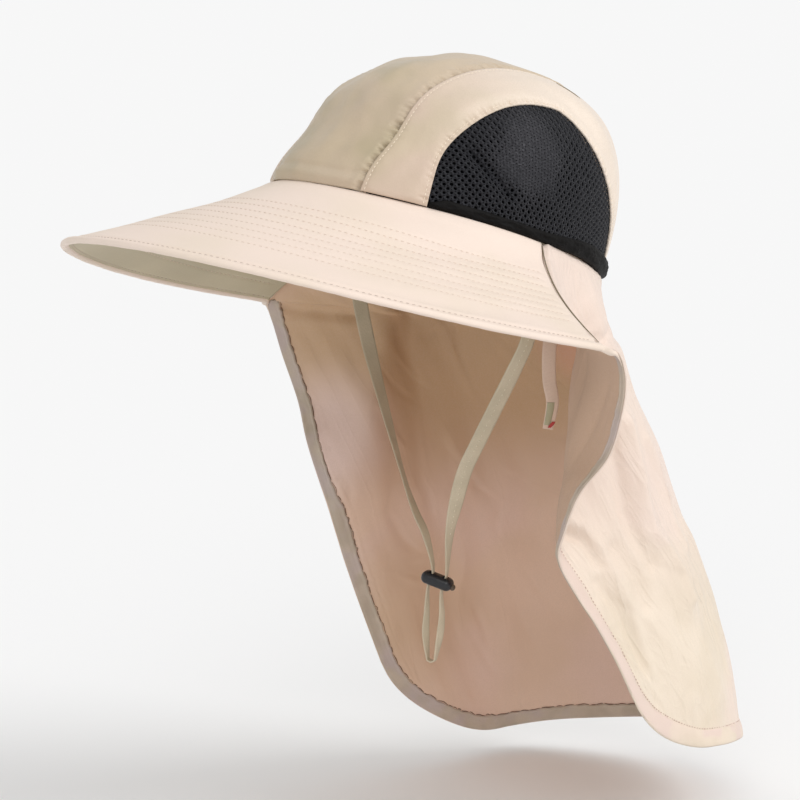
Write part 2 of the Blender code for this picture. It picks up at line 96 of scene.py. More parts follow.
CORNER_LEFT = 0.056
CORNER_RIGHT = 0.072
TAPE_WIDTH = 0.0086
TAPE_WALL = 0.0010
TOGGLE_TAPE_SHARE = 0.48
TOGGLE_LENGTH = 0.0188
TOGGLE_DEPTH = 0.0095
TOGGLE_HEIGHT = 0.0074
TOGGLE_HOLE_PITCH = 0.0084
TOGGLE_PLACE = (0.0005, 0.0, -0.1990)
TOGGLE_YAW = math.radians(30)
TOGGLE_LEAN = math.radians(17)
TAIL_WIDTH = 0.0078
GAP = 0.0003
SEAM_GAP = 0.0005

# What the fine pieces add to the solids
CROWN_WALL = 0.0012
SIDE_WALL = 0.0011
FLAP_WALL = 0.0008
CENTRE_GRID = (80, 400)
SIDE_GRID = (60, 400)
BRIM_GRID = (88, 430)
FLAP_GRID = (198, 240)
BAND_GRID = (16, 160)
SEAM_STITCH_AWAY = 0.0021
ARCH_STITCH_AWAY = 0.0022
RIM_STITCH_AWAY = 0.0052
BRIM_STITCH_SHARES = tuple(0.26 + 0.07 * k for k in range(8))
WINDOW_PITCH = 0.0041
WINDOW_ROW_PITCH = 0.00275
WINDOW_HOLE = 0.00092
WINDOW_CORNERS = 12
WINDOW_CREASE = ((66.4, -32.5, 46.8), (73.0, -25.6, 37.5), (78.7, -17.4, 26.6))
HEM_FACE_STEPS = ((0.0, -0.00010), (0.06, 0.00022), (0.3, 0.00030), (0.6, 0.00030), (0.92, 0.00022), (1.0, -0.00010))
# Short dark seam high on the rear of each side panel
SHORT_SEAM = ((0.0418, 0.0498, 0.0812), (0.0470, 0.0490, 0.0785), (0.0490, 0.0520, 0.0759), (0.0496, 0.0559, 0.0736),
              (0.0491, 0.0602, 0.0719))
TAIL_RIGHT = np.array([0.638, 0.770, 0.0])
TAIL_FACE = np.array([0.762, -0.631, 0.147])
CENTRE_PUCKER = 0.00370
ARCH_PUCKER = 0.00165
SEAM_PUCKER = 0.00070
RIM_ROLL = (0.00255, 0.00190)
HEM_STITCH_AWAY = 0.0092
HEM_WIDTH = 0.0086
NUB_RADIUS = 0.00165
TOGGLE_ROUNDING = 0.0034
TAIL_END_WALL = 0.0019
# Pitch and thread of each set of stitching rows, and how much of the pitch a stitch takes up
STITCHES = {"crown": (0.0026, "thread_crown"), "brim_top": (0.0033, "thread"), "brim_under": (0.0033, "thread"),
            "rim": (0.0033, "thread_dark"), "flap": (0.0023, "thread_flap")}
STITCH_SHARE = 0.68
SEAM_ROWS = 2
SIDES = ((1, "left"), (-1, "right"))

# Camera, floor and light. A sun has its name, azimuth, elevation, strength and angle.
CAMERA_LENS = 129.16
CAMERA_PLACE = (1.21644, -1.03423, 0.14142)
CAMERA_AXES = ((0.63771, 0.77028, 0.0), (-0.11307, 0.09361, 0.98917), (0.76193, -0.63080, 0.14679))
FLOOR_BELOW = 0.014
FLOOR_REACH = 260.0
FLOOR_GREY = 0.908
WORLD_STRENGTH = 0.66
SUNS = (("key", 122.0, 40.0, 1.25, 40.0), ("front", 48.0, 34.0, 0.62, 34.0))

# Rows of the flap's control points, from the seams down: where they lie as shares of its half-width, reach and drop
FLAP_ROWS = (
    dict(seam=0.5, fold=(0.560, 0.110), side=(0.530, 0.245), rear=(0.385, 0.350), back=(0.49, 0.142)),
    dict(seam=1.0, fold=(0.570, 0.125), side=(0.550, 0.260), rear=(0.405, 0.375), back=(0.50, 0.182)),
    dict(edge=(1.000, -0.03, 0.161), fold=(0.575, 0.130), side=(0.562, 0.265), rear=(0.420, 0.400),
         back=(0.520, 0.212)),
    dict(edge=(1.000, 0.000, 0.203), fold=(0.572, 0.125), side=(0.575, 0.270), rear=(0.425, 0.430),
         back=(0.545, 0.255)),
    dict(edge=(0.967, 0.015, 0.258), fold=(0.566, 0.115), side=(0.582, 0.290), rear=(0.425, 0.475),
         back=(0.590, 0.306)),
    dict(edge=(0.888, 0.025, 0.336), fold=(0.566, 0.100), side=(0.588, 0.330), rear=(0.425, 0.547),
         back=(0.655, 0.382)),
    dict(edge=(0.783, -0.005, 0.403), fold=(0.568, 0.088), side=(0.592, 0.360), rear=(0.425, 0.602),
         back=(0.715, 0.448)),
    dict(edge=(0.704, -0.005, 0.473), fold=(0.592, 0.075), side=(0.599, 0.400), rear=(0.425, 0.660),
         back=(0.770, 0.515)),
    dict(edge=(0.664, 0.005, 0.521), fold=(0.632, 0.072), side=(0.605, 0.440), rear=(0.435, 0.695),
         back=(0.810, 0.564)),
    dict(edge=(0.690, 0.055, 0.582), fold=(0.664, 0.135), side=(0.625, 0.470), rear=(0.440, 0.737),
         back=(0.850, 0.621)),
    dict(edge=(0.730, 0.115, 0.645), fold=(0.690, 0.220), side=(0.645, 0.510), rear=(0.445, 0.782),
         back=(0.890, 0.682)),
    dict(edge=(0.763, 0.210, 0.758), fold=(0.710, 0.340), side=(0.664, 0.600), rear=(0.460, 0.827),
         back=(0.950, 0.788)),
    dict(edge=(0.770, 0.390, 1.000), fold=(0.704, 0.540), side=(0.678, 0.750), rear=(0.475, 0.905),
         back=(1.040, 1.018)),
)
FLAP_HEIGHT_SHARES = (0.25, 0.5, 0.8, 1.0)
FLAP_SEAT_ANGLES = (92.9, 103.0, 122.0, 146.0, 180.0)

FOLDS = (
    # Height, half-width and points of each fold in millimetres
    (2.2, 9.0, ((87.6, 62.7, -105), (88.2, 69.1, -125), (89.8, 72.4, -150), (91.2, 76.9, -166),
                (91.2, 87.3, -177), (92.3, 97.8, -193), (94.7, 102.6, -209))),
    (1.6, 3.4, ((87.6, 62.7, -105), (88.2, 69.1, -125), (89.8, 72.4, -150), (91.2, 76.9, -166),
                (91.2, 87.3, -177), (92.3, 97.8, -193), (94.7, 102.6, -209))),
    (-2.2, 5.0, ((90.5, 49.0, -110), (91.0, 55.0, -130), (92.5, 58.0, -152), (94.0, 64.0, -170),
                 (94.5, 74.0, -184))),
    (1.5, 5.0, ((81.9, 83.9, -116), (79.8, 100, -141), (82.5, 105, -163), (83.2, 114, -180))),
    (-2.2, 3.4, ((89.7, 18.1, -160), (91.2, 27.4, -165), (95.4, 35.6, -179))),
    (1.6, 3.6, ((89.7, 18.1, -154), (91.2, 27.4, -158), (95.4, 35.6, -171))),
    (-1.4, 3.0, ((89.7, 24.0, -176), (92.5, 33.0, -184), (97.0, 42.0, -199))),
    (-2.2, 5.0, ((93.8, 46.8, -172), (97.3, 61.3, -189), (100.9, 64.8, -205))),
    (1.2, 3.4, ((95.5, 38.0, -178), (99.0, 50.0, -198), (102.5, 57.0, -220), (105.0, 66.0, -244))),
    (-1.8, 4.0, ((98.8, 31.4, -188), (102.6, 43.3, -205), (105.7, 53.7, -226), (107.4, 61.1, -241))),
    (1.8, 4.0, ((-141, -1, -57), (-130.5, 3.5, -58), (-111.5, 11, -58), (-96, 19, -58))),
)
FOLD_DEPTH = 1.50

# Routes of the strap and the tail: x, y, z, share of the width, turn in degrees
LEFT_STRAND = (
    (0.0801, 0.0040, 0.0010, 1.00, 0),
    (0.0794, 0.0035, -0.0130, 1.00, 0),
    (0.0785, 0.0020, -0.0340, 1.00, -8),
    (0.0742, 0.0012, -0.0540, 1.00, -22),
    (0.0618, 0.0030, -0.0715, 1.00, -33),
    (0.0478, 0.0024, -0.0930, 1.00, -38),
    (0.0346, 0.0010, -0.1145, 1.00, -38),
    (0.0240, 0.0000, -0.1325, 1.00, -36),
    (0.0165, 0.0000, -0.1520, 0.96, -27),
    (0.0105, 0.0005, -0.1710, 0.74, -2),
)
RIGHT_STRAND = (
    (-0.0085, -0.0010, -0.1740, 0.68, 6),
    (-0.0180, -0.0005, -0.1620, 0.80, 18),
    (-0.0275, 0.0000, -0.1470, 0.92, 36),
    (-0.0370, 0.0000, -0.1270, 1.00, 30),
    (-0.0462, 0.0000, -0.1060, 1.00, 14),
    (-0.0535, 0.0000, -0.0890, 1.00, 0),
    (-0.0600, 0.0000, -0.0730, 1.00, -18),
    (-0.0660, 0.0000, -0.0560, 1.00, -28),
    (-0.0710, 0.0005, -0.0400, 1.00, -24),
    (-0.0770, 0.0025, -0.0190, 1.00, -7),
    (-0.0801, 0.0040, 0.0010, 1.00, 0),
)
LOOP_LEFT = (
    (0.0026, 0.0016, -0.2190, 0.52, 4),
    (0.0016, 0.0012, -0.2300, 0.58, -6),
)
LOOP_RIGHT = (
    (-0.0062, -0.0030, -0.2300, 0.58, -6),
    (-0.0056, -0.0028, -0.2190, 0.52, 4),
)
LOOP_BOTTOM_PLACE = (-0.0030, -0.0012, -0.2440)
LOOP_BOTTOM_RADIUS = 0.0024
TAIL_ROUTE = (
    (0.0782, 0.0235, -0.0070, 1.00, 14),
    (0.0773, 0.0215, -0.0240, 1.00, 4),
    (0.0764, 0.0185, -0.0420, 1.00, -16),
    (0.0752, 0.0162, -0.0600, 1.00, -33),
    (0.0752, 0.0162, -0.0770, 0.96, -36),
    (0.0764, 0.0176, -0.0900, 0.90, -34),
    (0.0752, 0.0154, -0.1045, 0.76, -30),
)


# Vectors, curves and the hat's shapes

def unit(v):
    return v / np.maximum(np.linalg.norm(v, axis=-1, keepdims=True), 1e-12)


def smooth(x):
    x = np.clip(x, 0.0, 1.0)
    return x * x * (3 - 2 * x)


def bell(x, width):
    return np.exp(-(x / width) ** 2)


def tip(p):
    """Points of the level hat, leant back as the whole hat is."""
    c = math.cos(TIP_BACK)
    s = math.sin(TIP_BACK)
    return np.stack([p[..., 0], p[..., 1] * c + p[..., 2] * s, p[..., 2] * c - p[..., 1] * s], -1)


def on_side(p, side):
    """Points of the left side as they are, or moved to the right side where side is -1."""
    return p * np.array([side, 1.0, 1.0])


def mirror_x(p):
    return on_side(p, -1.0)


def travelled(line):
    """Distance gone along a line at each of its points."""
    return np.concatenate([[0.0], np.cumsum(np.linalg.norm(np.diff(line, axis=0), axis=1))])


def read_along(at, gone, values):
    """Rows of values, read at distances along a line."""
    return np.stack([np.interp(at, gone, column) for column in values.T], -1)


def evened(line, wide):
    """Rows of values along a line, each averaged with its neighbours."""
    kernel = np.hanning(2 * wide + 3)[1:-1]
    kernel = kernel / kernel.sum()
    start = 2 * line[:1] - line[1:wide + 1][::-1]
    stop = 2 * line[-1:] - line[-wide - 1:-1][::-1]
    whole = np.concatenate([start, line, stop])
    return np.stack([np.convolve(column, kernel, mode="valid") for column in whole.T], -1)


def blend_four(p0, p1, p2, p3, t):
    return 0.5 * (p1 * 2 + (p2 - p0) * t + (p0 * 2 - p1 * 5 + p2 * 4 - p3) * t ** 2
                  + (p1 * 3 - p0 - p2 * 3 + p3) * t ** 3)


def spline(values, place):
    """Smooth curve through evenly counted values, read at an array of places."""
    values = np.asarray(values, float)
    flat = values.ndim == 1
    if flat:
        values = values[:, None]
    place = np.asarray(place, float)
    last = len(values) - 1
    i = np.minimum(place.astype(int), last - 1)
    t = (place - i)[..., None]
    p1 = values[i]
    p2 = values[i + 1]
    p0 = np.where((i > 0)[..., None], values[np.maximum(i - 1, 0)], p1 * 2 - p2)
    p3 = np.where((i + 2 <= last)[..., None], values[np.minimum(i + 2, last)], p2 * 2 - p1)
    out = blend_four(p0, p1, p2, p3, t)
    return out[..., 0] if flat else out


def crown_radius(d):
    """How far the crown's surface lies from the opening's centre in each direction."""
    flat = np.hypot(d[..., 0], d[..., 1])
    rise = np.arctan2(np.maximum(d[..., 2], 0.0), flat)
    forward = -d[..., 1] / np.maximum(flat, 1e-9)
    round_share = np.hypot(d[..., 0] / OPENING_HALF_WIDTH, d[..., 1] / OPENING_HALF_LENGTH)
    high = np.maximum(d[..., 2], 0.0) / CROWN_HEIGHT * (1 + FRONT_LOWER * forward * flat)
    reach = (round_share ** CROWN_ROUNDNESS + high ** CROWN_ROUNDNESS) ** (-1.0 / CROWN_ROUNDNESS)
    fullness = 1 - BACK_FULLNESS * forward * np.sin(2 * rise) ** 2
    dent = FRONT_TUCK * np.maximum(forward, 0.0) * bell(rise - TUCK_RISE, TUCK_SPREAD)
    return reach * (fullness - dent)


def crown_point(d):
    d = unit(d)
    return d * crown_radius(d)[..., None]


def seam_direction(side, share):
    """Direction at a distance from the crown's middle, from the front base over the top to the back one."""
    pitch = math.pi * share
    turn = np.full(np.shape(share), 0.4)

    def direction():
        return np.stack([np.sin(turn), -np.cos(turn) * np.cos(pitch), np.cos(turn) * np.sin(pitch)], -1)

    for _ in range(8):
        turn = np.arcsin(np.minimum(side / crown_radius(direction()), 0.95))
    return direction()


def side_direction(y, z):
    """Direction of the crown's left side at a place along the hat and a height."""
    y, z = np.broadcast_arrays(np.asarray(y, float), np.asarray(z, float))
    x = np.full(y.shape, OPENING_HALF_WIDTH * 0.8)
    for _ in range(14):
        reach = crown_radius(unit(np.stack([x, y, z], -1)))
        x = np.sqrt(np.maximum(reach ** 2 - y ** 2 - z ** 2, 1e-6))
    return unit(np.stack([x, y, z], -1))


def window_outline(share, inset=0.0, floor=0.0):
    """Directions along the window's arch from its front foot to its rear one."""
    angle = math.pi * (1 - share)
    lean = np.abs(np.cos(angle))
    front = angle > math.pi / 2
    length = np.where(front, WINDOW_TOP_Y - WINDOW_FRONT_Y - inset, WINDOW_REAR_Y - WINDOW_TOP_Y - inset)
    curve = np.where(front, WINDOW_FRONT_CURVE, WINDOW_REAR_CURVE)
    y = WINDOW_TOP_Y + np.where(front, -1.0, 1.0) * length * lean ** (2 / curve)
    z = (WINDOW_HEIGHT - inset) * np.sin(angle) ** (2 / curve)
    return side_direction(y, np.maximum(z, floor))


def slerp(a, b, t):
    angle = np.arccos(np.clip((a * b).sum(-1), -1, 1))[..., None]
    return (np.sin((1 - t) * angle) * a + np.sin(t * angle) * b) / np.sin(np.maximum(angle, 1e-9))


def opening_normal(angle):
    return unit(np.stack([np.sin(angle) / OPENING_HALF_WIDTH, -np.cos(angle) / OPENING_HALF_LENGTH,
                          np.zeros_like(angle)], -1))


def opening_point(angle, inset):
    p = np.stack([OPENING_HALF_WIDTH * np.sin(angle), -OPENING_HALF_LENGTH * np.cos(angle),
                  np.zeros_like(angle)], -1)
    return p - opening_normal(angle) * inset


def brim_width(angle):
    forward = np.cos(angle)
    return BRIM_SIDE + (BRIM_FRONT - BRIM_SIDE) * (0.58 * forward + 0.42 * forward ** 2)


def brim_point(angle, share):
    """Point on the brim's upper face in the hat's own frame."""
    angle, share = np.broadcast_arrays(np.asarray(angle, float), np.asarray(share, float))
    forward = np.cos(angle)
    width = brim_width(angle)
    droop = BRIM_SIDE_DROOP + (BRIM_FRONT_DROOP - BRIM_SIDE_DROOP) * (1.2 * forward ** 2 - 0.2 * forward)
    sag = BRIM_SIDE_SAG + (BRIM_FRONT_SAG - BRIM_SIDE_SAG) * forward ** 2
    below = width * sag * np.sin(math.pi * np.maximum(share, 0) ** 0.7)
    out = width * share * np.cos(droop) - below * np.sin(droop) + BASE_INSET * share
    down = width * share * np.sin(droop) + below * np.cos(droop)
    p = opening_point(angle, BASE_INSET) + opening_normal(angle) * out[..., None]
    p[..., 2] = -GAP - down
    return p


def brim_end(share):
    return BRIM_END - BRIM_END_BOW * np.sin(math.pi * share)


def flap_seam_edge(share):
    angle = brim_end(share)
    point = brim_point(angle, share)
    behind = brim_point(angle + 0.02, share) - point
    return tip(point + unit(behind) * SEAM_GAP * 1.6)


def scaled(x, y, drop):
    return np.array([x * FLAP_HALF_WIDTH, y * FLAP_REACH, -drop * FLAP_DROP])


def flap_columns():
    """Control points of the flap's left half, as five columns of rows."""
    columns = []
    for angle in FLAP_SEAT_ANGLES:
        seat = opening_point(np.array(math.radians(angle)), BASE_INSET)
        columns.append([tip(seat - np.array([0, 0, GAP]))])
    for row in FLAP_ROWS:
        edge = flap_seam_edge(np.array(row["seam"])) if "seam" in row else scaled(*row["edge"])
        back = scaled(0.0, *row["back"])
        columns[0].append(edge)
        for number, name in enumerate(("fold", "side", "rear")):
            x, y = row[name]
            height = edge[2] + (back[2] - edge[2]) * FLAP_HEIGHT_SHARES[number]
            columns[number + 1].append(np.array([x * FLAP_HALF_WIDTH, y * FLAP_REACH, height]))
        columns[4].append(back)
    return np.array(columns)


FLAP_COLUMNS = flap_columns()


def flap_point(place, across):
    """Point on the flap's outer face. Across runs from -4 at the right edge to 4 at the left."""
    place, across = np.broadcast_arrays(np.asarray(place, float), np.asarray(across, float))
    left = np.stack([spline(column, place) for column in FLAP_COLUMNS], -2)
    edge = flap_seam_edge(np.clip(place / SEAM_ROWS, 0, 1))
    left[..., 0, :] = np.where((place <= SEAM_ROWS)[..., None], edge, left[..., 0, :])
    right = mirror_x(left)
    row = np.concatenate([right[..., :4, :], left[..., 4:5, :], left[..., 3::-1, :]], -2)
    at = across + 4
    i = np.minimum(at.astype(int), 7)
    t = (at - i)[..., None]

    def pick(k):
        return np.take_along_axis(row, np.clip(k, 0, 8)[..., None, None], -2)[..., 0, :]

    p1 = pick(i)
    p2 = pick(i + 1)
    p0 = np.where((i > 0)[..., None], pick(i - 1), p1 * 2 - p2)
    p3 = np.where((i < 7)[..., None], pick(i + 2), p2 * 2 - p1)
    return blend_four(p0, p1, p2, p3, t)


def hem_places(across):
    """How far down the rows each column reaches, with both bottom corners rounded."""
    last = len(FLAP_ROWS)
    level = flap_point(np.full(across.shape, last - 1.0), across)
    gone = travelled(level)
    whole = gone[-1]
    drop = HEM_DROP_RIGHT + (HEM_DROP_LEFT - HEM_DROP_RIGHT) * smooth(gone / whole)
    for radius, distance in ((CORNER_RIGHT, gone), (CORNER_LEFT, whole - gone)):
        cut = np.clip((radius - distance) / radius, 0, 1)
        drop = drop - radius * 0.8 * (1 - np.sqrt(1 - cut ** 2))
    low = np.full(across.shape, 3.0)
    high = np.full(across.shape, float(last))
    for _ in range(24):
        middle = (low + high) / 2
        above = -flap_point(middle, across)[..., 2] < drop
        low = np.where(above, middle, low)
        high = np.where(above, high, middle)
    return low


# Meshes from grids and tubes

def grid_normals(p):
    """Outer normals of a grid whose faces run down the rows and then along the columns."""
    down = np.gradient(p, axis=0)
    along = np.gradient(p, axis=1)
    return unit(np.cross(down, along))


def arc_lengths(p, axis):
    steps = np.linalg.norm(np.diff(p, axis=axis), axis=-1)
    gone = np.cumsum(steps, axis=axis)
    pad = np.zeros_like(np.take(gone, [0], axis=axis))
    return np.concatenate([pad, gone], axis=axis)


def build(name, points, faces, slots, uv=None):
    """Mesh object from arrays. slots is a list of (material, face indices or None)."""
    mesh = bpy.data.meshes.new(name)
    mesh.vertices.add(len(points))
    mesh.vertices.foreach_set("co", np.asarray(points, np.float32).ravel())
    faces = np.asarray(faces, np.int32)
    mesh.loops.add(faces.size)
    mesh.loops.foreach_set("vertex_index", faces.ravel())
    mesh.polygons.add(len(faces))
    mesh.polygons.foreach_set("loop_start", np.arange(0, faces.size, faces.shape[1], dtype=np.int32))
    index = np.zeros(len(faces), np.int32)
    for number, (slot, chosen) in enumerate(slots):
        mesh.materials.append(slot)
        if chosen is not None:
            index[chosen] = number
    mesh.polygons.foreach_set("material_index", index)
    mesh.polygons.foreach_set("use_smooth", np.full(len(faces), True))
    if uv is not None:
        layer = mesh.uv_layers.new(name="weave")
        layer.data.foreach_set("uv", np.asarray(uv, np.float32)[faces.ravel()].ravel())
    mesh.validate()
    mesh.update()
    item = bpy.data.objects.new(name, mesh)
    bpy.context.scene.collection.objects.link(item)
    return item


def grid_faces(rows, columns, start=0):
    r, c = np.meshgrid(np.arange(rows - 1), np.arange(columns - 1), indexing="ij")
    a = (start + r * columns + c).ravel()
    return np.stack([a, a + columns, a + columns + 1, a + 1], -1)


def shell(name, outer, inner, outer_slot, inner_slot, flip=False):
    """Closed sheet between an outer and an inner grid, with its edges joined."""
    rows, columns = outer.shape[:2]
    total = rows * columns
    top = grid_faces(rows, columns)
    low = grid_faces(rows, columns, total)[:, ::-1]
    index = np.arange(total).reshape(rows, columns)
    border = np.concatenate([index[0, :-1], index[:-1, -1], index[-1, :0:-1], index[:0:-1, 0]])
    after = np.roll(border, -1)
    sides = np.stack([border, after, after + total, border + total], -1)
    faces = np.concatenate([top, low, sides])
    u = arc_lengths(outer, 1)
    u = u - u[:, :1] - (u[:, -1:] - u[:, :1]) / 2
    v = arc_lengths(outer, 0)
    one = np.stack([u.ravel(), v.ravel()], -1)
    points = np.concatenate([outer.reshape(-1, 3), inner.reshape(-1, 3)])
    if flip:
        faces = faces[:, ::-1]
    slots = [(outer_slot, None), (inner_slot, np.arange(len(top), len(top) + len(low)))]
    return build(name, points, faces, slots, np.concatenate([one, one]))


def edited(item, change):
    """Changes a piece's mesh by a function of its bmesh."""
    work = bmesh.new()
    work.from_mesh(item.data)
    change(work)
    work.to_mesh(item.data)
    work.free()


def fix_normals(item):
    edited(item, lambda work: bmesh.ops.recalc_face_normals(work, faces=work.faces))


def ring_around(side, up, count):
    """Circle of directions round each place of a line, from its two side vectors."""
    turn = np.arange(count) / count * 2 * math.pi
    return side[..., None, :] * np.cos(turn)[:, None] + up[..., None, :] * np.sin(turn)[:, None]


def ring_faces(rings, count):
    r, c = np.meshgrid(np.arange(rings - 1), np.arange(count), indexing="ij")
    a = (r * count + c).ravel()
    b = (r * count + (c + 1) % count).ravel()
    return np.stack([a, b, b + count, a + count], -1)


def tube(name, sections, slot):
    """Bar through rings of points, with closed ends."""
    rings, count = sections.shape[:2]
    around = arc_lengths(np.concatenate([sections, sections[:, :1]], 1), 1)[:, :-1]
    uv = np.stack([around.ravel(), arc_lengths(sections, 0).ravel()], -1)
    points = np.concatenate([sections.reshape(-1, 3), sections[[0, -1]].mean(1)])
    item = build(name, points, ring_faces(rings, count), [(slot, None)], np.concatenate([uv, uv[[0, -1]]]))

    def close(work):
        work.verts.ensure_lookup_table()
        for ring, middle, way in ((0, rings * count, -1), (rings - 1, rings * count + 1, 1)):
            for c in range(count):
                corners = [work.verts[k] for k in (ring * count + c, ring * count + (c + 1) % count, middle)]
                work.faces.new(corners[::way]).smooth = True
        bmesh.ops.recalc_face_normals(work, faces=work.faces)

    edited(item, close)
    return item


def ripples(s, seed, spacing, jitter=0.35, sharp=1.0):
    """Uneven row of small humps along a length, between about 0 and 1."""
    rng = np.random.default_rng(seed)
    reach = float(np.max(s)) + spacing
    at = np.arange(-spacing, reach, spacing)
    at = at + rng.uniform(-jitter, jitter, len(at)) * spacing
    high = rng.uniform(0.25, 1.0, len(at))
    wide = spacing * rng.uniform(0.22, 0.42, len(at)) / sharp
    out = np.zeros_like(s)
    for place, height, width in zip(at, high, wide):
        out += height * bell(s - place, width)
    return out


def waves(u, v, seed, length, stretch=1.0, count=9):
    """Soft uneven swell over a surface, between about -1 and 1."""
    rng = np.random.default_rng(seed)
    out = np.zeros_like(u)
    for _ in range(count):
        turn = rng.uniform(0, math.pi)
        pace = 2 * math.pi / (length * rng.uniform(0.7, 1.8))
        phase = rng.uniform(0, 2 * math.pi)
        out += np.sin((u * math.cos(turn) + v * math.sin(turn) / stretch) * pace + phase)
    return out / math.sqrt(count) / 1.4


def bars(name, points, slot):
    """One mesh of many small bars. The points run over bars, rings and corners."""
    number, rings, count = points.shape[:3]
    faces = (np.arange(number)[:, None, None] * rings * count + ring_faces(rings, count)[None]).reshape(-1, 4)
    return build(name, points.reshape(-1, 3), faces, [(slot, None)])


def stitch_rows(name, rows, slot, pitch, length, radius=0.00024, sink=0.3):
    """Small thread capsules along rows of (points, normals)."""
    steps = np.array([0.0, 0.22, 0.78, 1.0])
    fat = np.array([0.45, 1.0, 1.0, 0.45])
    lift = np.array([-1.0, 0.55, 0.55, -1.0])
    points = []
    for row, normals in rows:
        gone = travelled(row)
        starts = np.arange(pitch * 0.3, gone[-1] - length, pitch)
        if not len(starts):
            continue
        at = starts[:, None] + steps[None, :] * length
        p = read_along(at, gone, row)
        t = unit(p[:, -1:] - p[:, :1])
        side = unit(np.cross(unit(read_along(at, gone, normals)), t))
        up = np.cross(t, side)
        centre = p + up * ((lift - sink) * radius)[None, :, None]
        points.append(centre[:, :, None] + ring_around(side, up, 5) * (fat * radius)[None, :, None, None])
    return bars(name, np.concatenate(points), slot)


def thread_rings(row, side, up, radius, taper, count):
    """Rings round a row of points, which grow thin towards its two ends."""
    fat = radius * np.sqrt(np.sin(np.linspace(taper, math.pi - taper, len(row))))
    return row[:, None] + ring_around(side, up, count) * fat[:, None, None]


def seam_threads(name, rows, slot, radius=0.00030):
    """Short soft threads of uneven length, one along each row of points."""
    points = []
    for row, normals in rows:
        t = unit(np.gradient(row, axis=0))
        side = unit(np.cross(normals, t))
        points.append(thread_rings(row, side, np.cross(t, side), radius, 0.12, 6))
    return bars(name, np.array(points), slot)


def on_root(item, slot, *nodes):
    """Ties a piece to the hat and hides the solids that it stands for. The slot is not used."""
    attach(item, "root")
    if nodes:
        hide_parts(*nodes)
    return item


# Materials

def link(tree, a, b):
    tree.links.new(a, b)


def math_node(tree, operation, a, b=None):
    made = tree.nodes.new("ShaderNodeMath")
    made.operation = operation
    for number, value in enumerate((a, b)):
        if value is None:
            continue
        if isinstance(value, (int, float)):
            made.inputs[number].default_value = value
        else:
            link(tree, value, made.inputs[number])
    return made.outputs[0]


def times(tree, a, b):
    return math_node(tree, "MULTIPLY", a, b)


def vector_node(tree, operation, vector, value=None, output="Vector"):
    made = tree.nodes.new("ShaderNodeVectorMath")
    made.operation = operation
    link(tree, vector, made.inputs[0])
    if value is not None:
        made.inputs[1].default_value = value
    return made.outputs[output]


def object_place(tree):
    return tree.nodes.new("ShaderNodeTexCoord").outputs["Object"]


def parts_of(tree, vector):
    made = tree.nodes.new("ShaderNodeSeparateXYZ")
    link(tree, vector, made.inputs[0])
    return made.outputs


def weave_uv(tree):
    made = tree.nodes.new("ShaderNodeUVMap")
    made.uv_map = "weave"
    return made.outputs[0]


def empty_material(name, roughness, sheen=0.0):
    slot = bpy.data.materials.new(name)
    slot.use_nodes = True
    tree = slot.node_tree
    shader = tree.nodes["Principled BSDF"]
    shader.inputs["Roughness"].default_value = roughness
    shader.inputs["Sheen Weight"].default_value = sheen
    shader.inputs["Sheen Roughness"].default_value = 0.45
    return slot, tree, shader


def mixed(tree, factor, a, b):
    """Colour that runs from a to b with a factor."""
    made = tree.nodes.new("ShaderNodeMix")
    made.data_type = "RGBA"
    link(tree, factor, made.inputs[0])
    for socket, value in ((made.inputs[6], a), (made.inputs[7], b)):
        if isinstance(value, tuple):
            socket.default_value = (*value, 1.0)
        else:
            link(tree, value, socket)
    return made.outputs[2]


def noise(tree, vector, scale, detail=2.0, rough=0.5):
    made = tree.nodes.new("ShaderNodeTexNoise")
    made.inputs["Scale"].default_value = scale
    made.inputs["Detail"].default_value = detail
    made.inputs["Roughness"].default_value = rough
    link(tree, vector, made.inputs["Vector"])
    return made.outputs["Fac"]


def spread(tree, value, low, high):
    """Stretches the middle of a noise to the whole range."""
    made = tree.nodes.new("ShaderNodeMapRange")
    made.interpolation_type = "SMOOTHSTEP"
    made.inputs["From Min"].default_value = low
    made.inputs["From Max"].default_value = high
    link(tree, value, made.inputs["Value"])
    return made.outputs["Result"]


def thread_wave(tree, along, pitch):
    return math_node(tree, "SINE", times(tree, along, 2 * math.pi / pitch))


def weave_height(tree, pitch):
    """Height of a plain weave over the piece's own length and width in metres."""
    parts = parts_of(tree, weave_uv(tree))
    return times(tree, thread_wave(tree, parts[0], pitch), thread_wave(tree, parts[1], pitch))


def relief(tree, shader, *layers):
    """Bumps stacked on the shader's normal, each with its height, distance and strength."""
    before = None
    for height, distance, strength in layers:
        made = tree.nodes.new("ShaderNodeBump")
        made.inputs["Distance"].default_value = distance
        made.inputs["Strength"].default_value = strength
        link(tree, height, made.inputs["Height"])
        if before is not None:
            link(tree, before, made.inputs["Normal"])
        before = made.outputs["Normal"]
    link(tree, before, shader.inputs["Normal"])


def specked(tree, shader, place, tone, dark, scale, share, shade):
    """Base colour with fine specks of a darker shade."""
    fine = spread(tree, noise(tree, place, scale, 1.0), 0.30, 0.70)
    speck = tuple(c * shade for c in dark)
    link(tree, mixed(tree, times(tree, fine, share), tone, speck), shader.inputs["Base Color"])


def cloth_material(name, light, dark, crumple=0.00022):
    """Matt woven cloth with slightly crumpled threads."""
    slot, tree, shader = empty_material(name, 0.58, 0.10)
    place = object_place(tree)
    specked(tree, shader, place, tinted(tree, place, 0.36, 0.64, 16.0, dark, light), dark, 1700.0, 0.22, 0.92)
    relief(tree, shader, (noise(tree, place, 150.0, 3.0, 0.55), crumple, 0.55),
           (noise(tree, place, 520.0, 3.0, 0.6), 0.00006, 0.5), (weave_height(tree, 0.00034), 0.00003, 0.55))
    return slot


